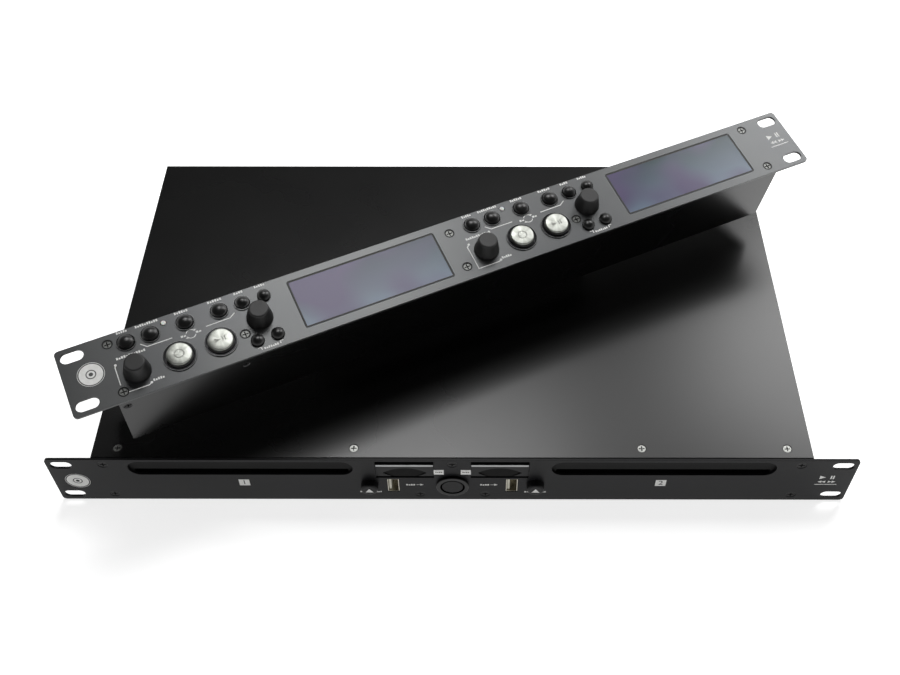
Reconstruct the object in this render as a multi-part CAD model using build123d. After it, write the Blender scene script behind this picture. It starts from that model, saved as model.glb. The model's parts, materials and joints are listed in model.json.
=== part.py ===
from build123d import *
import math
import os

# Dual disc player for a disc jockey's rack: a wide, low player with a slot for each of two discs,
# and the control unit that works it, which leans on the player's cover on its socket housing.
# Millimetres. The origin is the middle of the player's underside, X to the right, Y to the back,
# Z up. Each unit is drawn in a frame of its own: x along its front panel, y into the unit from the
# panel's front face, z up the panel. PLAYER_PLACE and CONTROLLER_PLACE bring them together.

# Clearances
seam = 0.1                     # between sheets and blocks that lie flat on each other
fit_gap = 0.15                 # round a part that sits in a cut-out
bearing_gap = 0.05             # round a shaft that turns or slides
swing_gap = 0.2                # round a door that swings
rest_gap = 0.05                # under what stands on a surface

# Front panels of both units, one rack unit high
panel_width = 482.6
panel_height = 44.0
panel_thickness = 1.5
panel_corner = 2.5
rack_slot_length = 13.0
rack_slot_height = 7.0
rack_slot_span = 465.1
rack_slot_pitch = 31.75

# Folded sheet of both cases
sheet = 1.0
flange_width = 14.0            # front flanges of the player's side walls
tab_half_width = 6.0

# Cross-head countersunk screws
screw_radius = 1.5
screw_gap = 0.1
screw_sink = 0.3
screw_length = 5.4
cross_reach = 0.62             # of the head's radius
cross_width = 0.7
cross_depth = 0.8
thread_gap = 0.05

# Player: case
case_width = 428.0
case_depth = 257.0
cover_top = 43.4
cover_thickness = 1.2
cover_skirt = 12.0
cover_front_gap = 0.6
cover_front_edge = 0.5
rail_depth = 12.4
front_lip = 5.0
lip_tab_height = 9.0
rail_tab_height = 7.0

# Player: screw places, x and height or depth
panel_top_screw_x = 207.4
panel_top_screw_z = 38.6
panel_low_screw_x = 208.0
panel_low_screw_z = 6.0
middle_screw_z = 39.2
lip_screw_x = 20.0
lip_screw_z = 6.3
cover_screw_places = (-199.4, -58.6, 112.8, 199.4)
cover_screw_depth = 9.0
side_screw_depths = (60.0, 200.0)
side_screw_drop = 8.0

# Player: disc slots and their bezels
slot_x = 126.3
slot_cut_length = 134.0
slot_cut_height = 14.0
slot_cut_low = 28.0
slot_mouth_length = 128.0
slot_mouth_top = 32.5
slot_mouth_low = 27.9
bezel_upper_recess = 0.6
bezel_lower_recess = 1.4
bezel_line_z = 38.4
bezel_flange_thickness = 1.5
bezel_flange_margin = 4.0
bezel_flange_low = 26.0
duct_wall = 1.5
duct_depth = 8.8

# Player: card doors and readers
card_x = 28.5
card_opening_width = 34.9
card_sill = 24.4
card_lintel = 42.3
door_top = 38.7
door_thickness = 2.2
hinge_depth = 3.2
hinge_height = 28.0
door_pin_radius = 0.8
door_pin_length = 2.2
knuckle_radius = 1.6
knuckle_length = 4.0
scoop_width = 26.3
scoop_height = 10.2
scoop_z = 30.1
scoop_depth = 1.5
reader_front = 7.0
reader_depth = 38.0
reader_low = 25.0
reader_top = 41.0
ear_thickness = 2.0
ear_height = 6.0
stop_width = 3.0
stop_height = 4.0
stop_low = 33.0
card_slot_width = 24.4
card_slot_height = 2.6
card_slot_z = 36.0
card_slot_length = 29.0
reader_leg_depth = 6.0

# Player: upright data sockets
usb_x = 36.0
usb_z = 16.1
usb_cut_width = 7.2
usb_cut_height = 14.0
usb_cut_corner = 0.4
usb_wall = 0.4
usb_mouth = 0.3
usb_length = 12.7
tongue_thickness = 1.5
tongue_side_gap = 0.35
tongue_end_gap = 0.8
tongue_setback = 1.0

# Player: buttons
power_z = 17.1
power_ring_radius = 9.9
power_ring_bore = 7.5
power_ring_proud = 2.0
power_barrel_radius = 8.8
power_barrel_length = 3.0
power_button_radius = 6.45
power_button_proud = 1.8
power_travel = 1.6
power_edge = 0.4
eject_x = 50.3
eject_z = 17.3
eject_radius = 5.2
eject_proud = 4.5
eject_travel = 1.5
eject_edge = 1.3
button_flange_lip = 0.7
button_flange_thickness = 1.2
button_guide_gap = 0.15
stem_radius = 1.6
switch_width = 5.0
switch_height = 4.4
switch_gap = 0.1

# Player: circuit boards
board_thickness = 1.6
front_board_depth = 18.0
front_board_half_width = 56.0
front_board_low = 3.0
front_board_top = 19.5
front_switch_drop = 0.4
front_foot_half_width = 4.0
front_foot_depth = 8.0
front_foot_top = 6.0
main_board_x0 = -205.0
main_board_x1 = 50.0
main_board_y0 = 165.0
main_board_y1 = 242.0
main_board_z = 6.0
standoff_radius = 3.0
standoff_inset = 6.0
main_board_chips = (           # x, y, width, depth and height
    (-150, 190, 22, 22, 1.8),
    (-100, 195, 18, 18, 1.8),
    (-55, 188, 28, 12, 2.4),
    (-10, 200, 14, 14, 1.8),
    (20, 180, 8, 24, 5.0),
)
can_places = (-180, -168, -125, -80, 5)
can_depth = 179.0
can_radius = 4.0
can_height = 11.0
supply_x0 = 64.0
supply_x1 = 205.0
supply_y0 = 165.0
supply_y1 = 232.0
transformer_x0 = 78.0
transformer_x1 = 116.0
transformer_y0 = 181.0
transformer_y1 = 215.0
transformer_height = 24.0
supply_can_places = (132.0, 154.0)
supply_can_depth = 187.0
supply_can_radius = 9.0
supply_can_height = 25.0
sink_x0 = 172.0
sink_x1 = 194.0
sink_y0 = 179.0
sink_spine = 3.0
sink_height = 22.0
fin_count = 6
fin_pitch = 7.0
fin_thickness = 2.5

# Player: one disc drive, placed from the middle of its slot
drive_half_width = 72.0
drive_wall = 1.2
drive_front = 9.2
drive_back = 152.0
deck_low = 20.0
deck_front = 18.6
drive_top = 36.0
drive_leg_radius = 3.5
drive_leg_x = 64.0
drive_leg_front = 26.0
drive_leg_back = 145.0
guide_bar_low = 33.0
guide_bar_front = 10.0
guide_bar_back = 17.0
roller_depth = 13.5
roller_radius = 3.6
roller_top = 28.6
roller_length = 120.0
roller_shaft_radius = 1.5
roller_groove = 0.5
spindle_depth = 80.0
turntable_radius = 15.0
turntable_low = 25.6
turntable_thickness = 1.4
hub_radius = 7.4
hub_top = 28.5
spindle_radius = 1.5
spindle_low = 9.0
turntable_opening = 16.5
motor_radius = 12.0
motor_low = 8.0
sled_rest = 23.0               # from the disc's centre to the lens, at the inner end
sled_travel = 35.0
sled_half_width = 12.0
sled_half_length = 8.0
sled_low = 12.0
sled_height = 7.0
lens_radius = 4.0
lens_top = 23.2
rod_x_offset = 8.5
rod_radius = 1.5
rod_z_height = 15.5
rod_lug_thickness = 1.5
rod_lug_margin = 3.0
rod_lug_gap = 0.8
sled_opening_half = 13.0

# Player: rear sockets
phono_places = (-190.0, -172.0, -150.0, -132.0, -110.0, -92.0)
phono_z = 22.0
phono_radius = 4.15
phono_bore = 1.6
phono_proud = 9.0
phono_body = 12.0
phono_body_depth = 11.0
link_places = (-55.0, -10.0)
link_z = 22.0
inlet_x = 150.0
inlet_z = 22.0
inlet_body_width = 27.4
inlet_body_height = 19.8
inlet_body_depth = 18.0
inlet_cavity_width = 24.4
inlet_cavity_height = 16.8
inlet_cavity_depth = 16.0
inlet_rim = 2.6
inlet_rim_thickness = 2.0
inlet_rim_corner = 2.0
blade_width = 2.0
blade_height = 4.0
blade_length = 14.0
blade_pitch = 7.0
blade_offset = 2.0

# Link sockets, the same on both units
link_shell_width = 16.9
link_shell_height = 8.4
link_shell_corner = 2.6
link_proud = 5.0
link_plate_width = 30.8
link_plate_height = 12.5
link_plate_thickness = 0.8
link_plate_corner = 1.5
link_body_width = 19.0
link_body_height = 10.6
link_body_depth = 10.0
link_contact_rows = ((-1, 5), (1, 4))   # side of the middle and number of contacts
link_contact_radius = 0.55
link_contact_pitch = 2.77
link_contact_depth = 4.0
link_nut_x = 12.5
link_nut_radius = 2.4
link_nut_height = 2.0
link_nut_bore = 1.0
link_screw_length = 4.0

# Control unit: case
controller_width = 437.0
controller_height = 42.4
controller_depth = 48.0
controller_skirt = 10.0
controller_corner_flange = 9.0
controller_flange_margin = 6.0
mullion_x = -3.1
mullion_half_width = 4.5
corner_screw_x = 212.7
corner_screw_z = 16.0
mullion_screw_z = 13.0
board_screw_x = -140.0
board_screw_z = -6.7
board_screw_post = 2.6
under_screw_places = (-213.0, -145.4)
under_screw_depth = 7.5
wire_window_width = 60.0
wire_window_height = 12.0

# Control unit: socket housing behind the case, which rests on the player's cover
housing_width = 180.0
housing_low = -12.0
housing_top = 20.5
housing_depth = 18.1
housing_socket_x = 40.0
housing_socket_proud = 4.0

# Control unit: attitude on the player's cover
controller_yaw = 25.6
controller_tilt = 10.8
controller_x = 6.13
controller_y = 109.03

# Control unit: controls of one deck, and the distance to the next deck's
deck_pitch = 215.0
top_row_z = 13.3
lower_row_z = -6.4
back_x = -202.8
source_x = -189.0
single_x = -168.9
repeat_x = -148.8
time_x = -134.9
pitch_button_x = -121.8
led_x = -180.15
led_z = 17.6
cue_x = -178.05
play_x = -154.15
track_knob_x = -202.1
pitch_knob_x = -128.8
pitch_knob_z = 0.4
search_back_x = -135.05
search_forward_x = -122.95
search_z = -13.6
small_cap_radius = 4.4
time_cap_radius = 3.8
plain_cap_radius = 3.8
small_cap_proud = 3.6
collar_proud = 1.7
dome_setback = 0.45
dome_shoulder = 0.6
plain_shoulder = 1.4
plain_cap_proud = 3.2
small_travel = 1.0
ring_gap = 0.6
ring_wall = 0.5
ring_proud = 0.7
ring_flange_lip = 0.8
ring_flange_thickness = 0.8
big_cap_radius = 7.2
big_cap_step = 0.6
big_cap_proud = 3.3
big_body_proud = 1.5
big_cap_edge = 0.5
big_ring_gap = 0.5
big_ring_wall = 1.2
big_travel = 1.0
retainer_gap = 0.2
retainer_lip = 0.6
retainer_thickness = 0.8
led_radius = 1.5
led_hole_gap = 0.3
led_proud = 0.6
led_edge = 0.48
led_length = 10.0

# Control unit: knobs and their encoders
knob_skirt_radius = 7.75
knob_top_radius = 5.9
knob_height = 9.8
knob_edge = 1.1
knob_base_gap = 0.6
knob_bore_depth = 1.0
knob_shaft_overlap = 0.5
track_base_gap = 1.0
shaft_radius = 3.0
shaft_top = 8.0
shaft_inner_end = 7.0
shaft_end_gap = 0.3
push_travel = 0.5
bush_radius = 3.6
bush_front = 0.3
bush_hole_gap = 0.2
encoder_half = 6.0
encoder_front = 6.0
encoder_end_gap = 0.3

# Control unit: displays and board
display_x = -59.7
display_z = 0.5
display_width = 94.3
display_height = 33.6
display_corner = 1.2
display_gap = 0.3
display_recess = 0.1
module_width = 98.0
module_height = 37.6
module_depth = 8.0
module_post_radius = 2.0
control_board_depth = 12.0
control_board_half_width = 212.0
control_board_half_height = 18.6
control_board_chips = ((-150, 26, 2.2), (-40, 18, 2.2), (60, 30, 6.0), (150, 22, 2.2))
control_chip_half_height = 8.0

# Places that follow from the sizes above
mid_z = panel_height / 2
case_front = panel_thickness + seam
cover_front = panel_thickness + cover_front_gap
chassis_half = case_width / 2 - cover_thickness - seam
rail_top = cover_top - cover_thickness - seam
rear_wall = case_depth - sheet
slot_cut_z = slot_cut_low + slot_cut_height / 2
card_half = card_opening_width / 2
door_half = card_half - swing_gap
door_front = seam
door_back = door_front + door_thickness
door_swing = hinge_height - card_sill - swing_gap
roller_z = roller_top - roller_radius
deck_top = deck_low + drive_wall
spindle_bore = spindle_radius + bearing_gap
front_switch_face = front_board_depth - switch_height
controller_half = controller_width / 2
controller_chassis_half = controller_half - sheet - seam
controller_case_half_height = controller_height / 2
controller_cover_low = controller_case_half_height - sheet
controller_rear = controller_depth - sheet
control_switch_face = control_board_depth - switch_height
decks = ((1, 0.0), (2, deck_pitch))
sides = ((1, -1), (2, 1))

PLAYER_PLACE = Pos(0, -case_depth / 2, 0)
tilt = math.radians(controller_tilt)
controller_z = (
    cover_top + rest_gap
    + (controller_depth + housing_depth) * math.cos(tilt)
    - housing_low * math.sin(tilt)
)
housing_socket_low = housing_low + housing_socket_proud / math.tan(tilt)
CONTROLLER_PLACE = (
    PLAYER_PLACE
    * Pos(controller_x, controller_y, controller_z)
    * Rot(0, 0, controller_yaw)
    * Rot(controller_tilt - 90, 0, 0)
)


# Plain shapes

def block(x0, x1, y0, y1, z0, z1):
    """A box between two opposite corners; x0 and x1 may come in any order."""
    centre = Pos((x0 + x1) / 2, (y0 + y1) / 2, (z0 + z1) / 2)
    return centre * Box(abs(x1 - x0), y1 - y0, z1 - z0)


def rod_y(x, z, radius, y0, y1):
    """A round bar along the depth."""
    return Pos(x, (y0 + y1) / 2, z) * Rot(90, 0, 0) * Cylinder(radius, y1 - y0)


def rod_x(y, z, radius, x0, x1):
    """A round bar along the width; x0 and x1 may come in any order."""
    return Pos((x0 + x1) / 2, y, z) * Rot(0, 90, 0) * Cylinder(radius, abs(x1 - x0))


def rod_z(x, y, radius, z0, z1):
    """A round upright bar."""
    return Pos(x, y, (z0 + z1) / 2) * Cylinder(radius, z1 - z0)


def tube_y(x, z, outer, inner, y0, y1):
    """A round tube along the depth."""
    return rod_y(x, z, outer, y0, y1) - rod_y(x, z, inner, y0 - 1, y1 + 1)


def cone_y(x, z, radius_front, radius_back, y0, y1):
    """A cone along the depth."""
    cone = Cone(radius_front, radius_back, y1 - y0)
    return Pos(x, (y0 + y1) / 2, z) * Rot(-90, 0, 0) * cone


def face_plane(y):
    """The plane that faces the viewer at depth y."""
    return Plane(origin=(0, y, 0), x_dir=(1, 0, 0), z_dir=(0, -1, 0))


def rounded_plate(x, z, width, height, corner, y0, y1):
    """A plate that faces the viewer, with rounded corners."""
    outline = face_plane(y0) * Pos(x, z) * RectangleRounded(width, height, corner)
    return extrude(outline, amount=y0 - y1)


def slot_plate(x, z, length, height, y0, y1):
    """A plate that faces the viewer, with half-round ends."""
    outline = face_plane(y0) * Pos(x, z) * SlotOverall(length, height)
    return extrude(outline, amount=y0 - y1)


def turned(outline):
    """A solid turned about Y from a closed outline of (radius, y) points and arcs."""
    return revolve(make_face(outline), Axis.Y)


def group(solids):
    """Separate solids that are saved as one node."""
    return Compound(list(solids))


def save(node, shape, place):
    """Write one node in the shared frame."""
    export_step(place * shape, f"parts/{node}.step")


# Screws

def screw(plate):
    """A countersunk screw along +Y, whose plate has its face at y = 0."""
    head = cone_y(0, 0, screw_radius + plate - screw_sink, screw_radius, screw_sink, plate)
    shank = rod_y(0, 0, screw_radius, plate, screw_length)
    arm = cross_reach * (screw_radius + plate)
    cross = (
        block(-arm, arm, 0, screw_sink + cross_depth, -cross_width / 2, cross_width / 2)
        + block(-cross_width / 2, cross_width / 2, 0, screw_sink + cross_depth, -arm, arm)
    )
    return head + shank - cross


def countersink(plate):
    """The hole for that screw."""
    reach = screw_radius + screw_gap
    return cone_y(0, 0, reach + plate, reach, 0, plate)


def thread(y0, y1):
    """The threaded hole that takes the screw's shank."""
    return rod_y(0, 0, screw_radius + thread_gap, y0, y1)


panel_screw_places = (
    (-panel_top_screw_x, panel_top_screw_z),
    (panel_top_screw_x, panel_top_screw_z),
    (-panel_low_screw_x, panel_low_screw_z),
    (panel_low_screw_x, panel_low_screw_z),
    (0, middle_screw_z),
    (-lip_screw_x, lip_screw_z),
    (lip_screw_x, lip_screw_z),
)
controller_case_screw_places = (
    (-corner_screw_x, corner_screw_z),
    (-corner_screw_x, -corner_screw_z),
    (corner_screw_x, corner_screw_z),
    (corner_screw_x, -corner_screw_z),
    (mullion_x, mullion_screw_z),
    (mullion_x, -mullion_screw_z),
)
controller_screw_places = controller_case_screw_places + (
    (board_screw_x, board_screw_z),
    (board_screw_x + deck_pitch, board_screw_z),
)


def top_screw_frame(x, y, z):
    """Turns a screw's +Y downwards at a place on a top face."""
    return Pos(x, y, z) * Rot(-90, 0, 0)


def side_screw_frame(side, half_width, y, z):
    """Turns a screw's +Y inwards at a place on a side wall."""
    return Pos(side * half_width, y, z) * Rot(0, 0, side * 90)


def player_cover_screw_frames():
    """Where the screws of the player's cover go."""
    frames = [top_screw_frame(x, cover_screw_depth, cover_top) for x in cover_screw_places]
    for _, side in sides:
        for depth in side_screw_depths:
            drop = cover_top - side_screw_drop
            frames.append(side_screw_frame(side, case_width / 2, depth, drop))
    return frames


def controller_side_screw_frames():
    """Where the side screws of the control unit's cover go."""
    height = controller_case_half_height - controller_skirt / 2
    return [
        side_screw_frame(side, controller_half, controller_depth / 2, height)
        for _, side in sides
    ]


def controller_under_screw_frames():
    """Where the screws in the control unit's underside go."""
    return [
        Pos(x, under_screw_depth, -controller_case_half_height) * Rot(90, 0, 0)
        for x in under_screw_places
    ]


# Player: case

def front_panel_blank():
    """A rack panel with its four slots, centred on z = 0."""
    panel = rounded_plate(0, 0, panel_width, panel_height, panel_corner, 0, panel_thickness)
    for x in (-rack_slot_span / 2, rack_slot_span / 2):
        for z in (-rack_slot_pitch / 2, rack_slot_pitch / 2):
            panel -= slot_plate(x, z, rack_slot_length, rack_slot_height, -1, panel_thickness + 1)
    return panel


def player_front_panel():
    """The player's panel, with openings for discs, cards, sockets and buttons."""
    panel = Pos(0, 0, mid_z) * front_panel_blank()
    through = panel_thickness + 1
    for _, side in sides:
        panel -= slot_plate(side * slot_x, slot_cut_z, slot_cut_length, slot_cut_height, -1, through)
        panel -= block(side * card_x - card_half, side * card_x + card_half, -1, through,
                       card_sill, card_lintel)
        panel -= rounded_plate(side * usb_x, usb_z, usb_cut_width, usb_cut_height, usb_cut_corner,
                               -1, through)
        panel -= rod_y(side * eject_x, eject_z, eject_radius + button_guide_gap, -1, through)
    panel -= rod_y(0, power_z, power_barrel_radius + fit_gap, -1, through)
    for x, z in panel_screw_places:
        panel -= Pos(x, 0, z) * countersink(panel_thickness)
    return panel


def player_chassis():
    """The folded tray: floor, side walls, rear wall, front rail, flanges and lips."""
    half = chassis_half
    tray = block(-half, half, case_front, case_depth, 0, sheet)
    tray += block(-half, half, rear_wall, case_depth, 0, rail_top)
    tray += block(-half, half, case_front, case_front + rail_depth, rail_top - sheet, rail_top)
    tray += block(-half, half, case_front, case_front + sheet, 0, front_lip / 2)
    tray += block(-tab_half_width, tab_half_width, case_front, case_front + sheet,
                  rail_top - rail_tab_height, rail_top)
    for _, side in sides:
        tray += block(side * (half - sheet), side * half, case_front, case_depth, 0, rail_top)
        tray += block(side * (half - flange_width), side * half, case_front, case_front + sheet,
                      0, rail_top)
        tray += block(side * lip_screw_x - tab_half_width, side * lip_screw_x + tab_half_width,
                      case_front, case_front + sheet, 0, lip_tab_height)
        notch_half = card_half + ear_thickness + 3 * swing_gap
        tray -= block(side * card_x - notch_half, side * card_x + notch_half, 0,
                      reader_front + seam, rail_top - 2 * sheet, rail_top + 1)
    for x, z in panel_screw_places:
        tray -= Pos(x, 0, z) * thread(0, screw_length + 1)
    for frame in player_cover_screw_frames():
        tray -= frame * thread(0, screw_length + 1)
    for x in phono_places:
        tray -= rod_y(x, phono_z, phono_radius + fit_gap, rear_wall - 1, case_depth + 1)
    for x in link_places:
        tray -= block(x - link_shell_width / 2 - fit_gap, x + link_shell_width / 2 + fit_gap,
                      rear_wall - 1, case_depth + 1, link_z - link_shell_height / 2 - fit_gap,
                      link_z + link_shell_height / 2 + fit_gap)
        for side in (-1, 1):
            tray -= rod_y(x + side * link_nut_x, link_z, screw_radius + screw_gap,
                          rear_wall - 1, case_depth + 1)
    tray -= block(inlet_x - inlet_body_width / 2 - fit_gap, inlet_x + inlet_body_width / 2 + fit_gap,
                  rear_wall - 1, case_depth + 1, inlet_z - inlet_body_height / 2 - fit_gap,
                  inlet_z + inlet_body_height / 2 + fit_gap)
    return tray


def player_top_cover():
    """The folded lid: a plate and two short skirts outside the side walls."""
    half = case_width / 2
    lid = block(-half, half, cover_front, case_depth, cover_top - cover_thickness, cover_top)
    for _, side in sides:
        lid += block(side * (half - cover_thickness), side * half, cover_front, case_depth,
                     cover_top - cover_skirt, cover_top)
    top_edges = lid.edges().filter_by(Axis.X).group_by(Axis.Z)[-1]
    lid = fillet(top_edges.group_by(Axis.Y)[0], cover_front_edge)
    for frame in player_cover_screw_frames():
        lid -= frame * countersink(cover_thickness)
    return lid


def player_screws():
    """The panel's and the cover's screws."""
    screws = [Pos(x, 0, z) * screw(panel_thickness) for x, z in panel_screw_places]
    screws += [frame * screw(cover_thickness) for frame in player_cover_screw_frames()]
    return group(screws)


# Player: front fittings

def disc_slot_bezel():
    """The stepped insert of a disc slot, with the duct that leads a disc inside."""
    insert = slot_plate(0, slot_cut_z, slot_cut_length - 2 * fit_gap, slot_cut_height - 2 * fit_gap,
                        bezel_upper_recess, case_front)
    half = slot_cut_length / 2 + bezel_flange_margin
    insert -= block(-half, half, 0, bezel_lower_recess, 0, bezel_line_z)
    flange_top = rail_top - sheet - seam
    insert += block(-half, half, case_front, case_front + bezel_flange_thickness,
                    bezel_flange_low, flange_top)
    mouth_half = slot_mouth_length / 2
    insert += block(-mouth_half - duct_wall, mouth_half + duct_wall, case_front, duct_depth,
                    slot_mouth_low - duct_wall, slot_mouth_top + duct_wall)
    insert -= block(-mouth_half, mouth_half, -1, duct_depth + 1, slot_mouth_low, slot_mouth_top)
    return insert


def power_ring():
    """The raised ring round the power button, pushed into the panel."""
    ring = tube_y(0, power_z, power_ring_radius, power_ring_bore, -power_ring_proud, 0)
    edges = ring.faces().sort_by(Axis.Y)[0].outer_wire().edges()
    ring = fillet(edges, power_edge)
    barrel = tube_y(0, power_z, power_barrel_radius, power_ring_bore, 0, power_barrel_length)
    return ring + barrel


def front_bezels():
    """Both slot inserts and the power ring."""
    inserts = [Pos(side * slot_x, 0, 0) * disc_slot_bezel() for _, side in sides]
    return group(inserts + [power_ring()])


def push_button(radius, proud, edge, flange_radius, flange_front, travel, switch_face):
    """A flat round button along Y with a flange that keeps it in, and a stem to its switch."""
    cap = rod_y(0, 0, radius, -proud, flange_front)
    cap = fillet(cap.edges().filter_by(GeomType.CIRCLE).sort_by(Axis.Y)[0], edge)
    flange_back = flange_front + button_flange_thickness
    flange = rod_y(0, 0, flange_radius, flange_front, flange_back)
    stem = rod_y(0, 0, stem_radius, flange_back, switch_face - travel - switch_gap)
    return cap + flange + stem


def power_button():
    """The round on and off button."""
    front = power_barrel_length + retainer_gap
    flange_radius = power_ring_bore + button_flange_lip
    button = push_button(power_button_radius, power_button_proud, power_edge, flange_radius,
                         front, power_travel, front_switch_face)
    return Pos(0, 0, power_z) * button


def eject_button():
    """A round button that stands well out of the panel."""
    front = panel_thickness + retainer_gap
    flange_radius = eject_radius + button_guide_gap + button_flange_lip
    return push_button(eject_radius, eject_proud, eject_edge, flange_radius,
                       front, eject_travel, front_switch_face)


def usb_socket():
    """One upright data socket: steel shell, tongue and closed back."""
    half_width = usb_cut_width / 2 - fit_gap
    half_height = usb_cut_height / 2 - fit_gap
    socket = block(-half_width, half_width, usb_mouth, front_board_depth, -half_height, half_height)
    inner_width = half_width - usb_wall
    inner_height = half_height - usb_wall
    back = usb_mouth + usb_length
    socket -= block(-inner_width, inner_width, 0, back, -inner_height, inner_height)
    tongue_x = tongue_side_gap - inner_width
    socket += block(tongue_x, tongue_x + tongue_thickness, usb_mouth + tongue_setback, back + 1,
                    tongue_end_gap - inner_height, inner_height - tongue_end_gap)
    return socket


def usb_sockets():
    """Both data sockets, soldered to the front board."""
    return group(Pos(side * usb_x, 0, usb_z) * usb_socket() for _, side in sides)


def card_door():
    """The drop-down door of a card reader, with its finger scoop and hinge pins."""
    door = block(-door_half, door_half, door_front, door_back, hinge_height, door_top)
    foot = block(-door_half, door_half, door_front, door_back, card_sill, hinge_height)
    door += foot & rod_x(hinge_depth, hinge_height, door_swing, -door_half, door_half)
    for _, side in sides:
        inner = side * (door_half - knuckle_length)
        tip = side * (door_half + door_pin_length)
        door += rod_x(hinge_depth, hinge_height, knuckle_radius, inner, side * door_half)
        door += rod_x(hinge_depth, hinge_height, door_pin_radius, inner, tip)
    arc_radius = (scoop_width ** 2 + scoop_height ** 2) / (4 * scoop_height)
    arc_offset = arc_radius - scoop_height / 2
    lens = (
        rod_y(0, scoop_z + arc_offset, arc_radius, -1, door_back)
        & rod_y(0, scoop_z - arc_offset, arc_radius, -1, door_back)
    )
    low = scoop_z - scoop_height / 2
    high = scoop_z + scoop_height / 2
    floor = Polyline(
        (-1, low), (door_front, low), (door_front + scoop_depth, high), (-1, high), close=True
    )
    wedge = extrude(Plane.YZ * make_face(floor), amount=scoop_width, both=True)
    return door - (lens & wedge)


def card_reader():
    """A card reader with ears for the door's pins, stops behind the door, and two legs."""
    ear_in = door_half + swing_gap + seam
    ear_out = ear_in + ear_thickness
    body = block(-ear_out, ear_out, reader_front, reader_front + reader_depth,
                 reader_low, reader_top)
    body -= block(-card_slot_width / 2, card_slot_width / 2, 0, reader_front + card_slot_length,
                  card_slot_z - card_slot_height / 2, card_slot_z + card_slot_height / 2)
    for _, side in sides:
        ear = block(side * ear_in, side * ear_out, case_front + seam, reader_front + 1,
                    reader_low, reader_low + ear_height)
        body += ear - rod_x(hinge_depth, hinge_height, door_pin_radius + bearing_gap,
                            -ear_out - 1, ear_out + 1)
        stop_out = side * (door_half - seam)
        stop_in = side * (door_half - seam - stop_width)
        body += block(stop_in, stop_out, door_back + seam, reader_front + 1,
                      stop_low, stop_low + stop_height)
        leg_back = reader_front + reader_depth
        body += block(stop_in, stop_out, leg_back - reader_leg_depth, leg_back,
                      sheet + rest_gap, reader_low)
    return body


def card_readers():
    """Both card readers."""
    return group(Pos(side * card_x, 0, 0) * card_reader() for _, side in sides)


# Player: disc drives, drawn about the middle of the slot

def disc_drive_frame():
    """Deck plate on four legs, side and rear walls, guide bar, spindle motor and laser rods."""
    half = drive_half_width
    frame = block(-half, half, deck_front, drive_back, deck_low, deck_top)
    frame += block(-half, half, drive_back - drive_wall, drive_back, deck_low, drive_top)
    for _, side in sides:
        frame += block(side * half, side * (half + drive_wall), drive_front, drive_back,
                       deck_low, drive_top)
        for depth in (drive_leg_front, drive_leg_back):
            frame += rod_z(side * drive_leg_x, depth, drive_leg_radius, sheet + rest_gap, deck_low)
    frame += block(-half, half, guide_bar_front, guide_bar_back, guide_bar_low, drive_top)
    frame -= rod_x(roller_depth, roller_z, roller_shaft_radius + bearing_gap,
                   -half - drive_wall - 1, half + drive_wall + 1)
    frame -= rod_z(0, spindle_depth, turntable_opening, deck_low - 1, deck_top + 1)
    lug_front = spindle_depth + sled_rest - sled_half_length - rod_lug_gap
    lug_back = spindle_depth + sled_rest + sled_travel + sled_half_length + rod_lug_gap
    frame -= block(-sled_opening_half, sled_opening_half, spindle_depth, lug_back + seam,
                   deck_low - 1, deck_top + 1)
    motor = rod_z(0, spindle_depth, motor_radius, motor_low, deck_low - sheet)
    yoke = block(-half / 2, half / 2, spindle_depth - motor_radius / 2,
                 spindle_depth + motor_radius / 2, deck_low - sheet - drive_wall, deck_low)
    yoke -= rod_z(0, spindle_depth, turntable_opening, deck_low - sheet, deck_low + 1)
    frame += motor + yoke
    frame -= rod_z(0, spindle_depth, spindle_bore, spindle_low - bearing_gap, deck_low + 1)
    for y in (lug_front - rod_lug_thickness, lug_back):
        frame += block(-sled_opening_half - rod_lug_margin, sled_opening_half + rod_lug_margin,
                       y, y + rod_lug_thickness, sled_low, deck_low)
    for side in (-1, 1):
        frame += rod_y(side * rod_x_offset, rod_z_height, rod_radius, lug_front, lug_back)
    return frame


def feed_roller():
    """The rubber roller that draws a disc in, waisted so that it holds only the disc's edge."""
    core = rod_x(roller_depth, roller_z, roller_shaft_radius,
                 -drive_half_width - drive_wall, drive_half_width + drive_wall)
    end = roller_length / 2
    waist = roller_radius - roller_groove
    outline = Polyline((-end, 0), (-end, roller_radius)) + ThreePointArc(
        (-end, roller_radius), (0, waist), (end, roller_radius)
    ) + Polyline((end, roller_radius), (end, 0), (-end, 0))
    rubber = revolve(make_face(outline), Axis.X)
    return core + Pos(0, roller_depth, roller_z) * rubber


def disc_spindle():
    """The turntable with the hub that centres a disc, on the motor's shaft."""
    disc = rod_z(0, spindle_depth, turntable_radius, turntable_low,
                 turntable_low + turntable_thickness)
    hub_low = turntable_low + turntable_thickness
    cone = Cone(hub_radius, hub_radius - 1, hub_top - hub_low)
    hub = Pos(0, spindle_depth, (hub_low + hub_top) / 2) * cone
    shaft = rod_z(0, spindle_depth, spindle_radius, spindle_low, hub_low)
    return disc + hub + shaft


def laser_sled():
    """The optical pick-up on its carriage, at the disc's inner tracks."""
    y = spindle_depth + sled_rest
    sled = block(-sled_half_width, sled_half_width, y - sled_half_length, y + sled_half_length,
                 sled_low, sled_low + sled_height)
    sled += rod_z(0, y, lens_radius, sled_low + sled_height, lens_top)
    for side in (-1, 1):
        sled -= rod_y(side * rod_x_offset, rod_z_height, rod_radius + bearing_gap,
                      y - sled_half_length - 1, y + sled_half_length + 1)
    return sled


# Player: electrics

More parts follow.
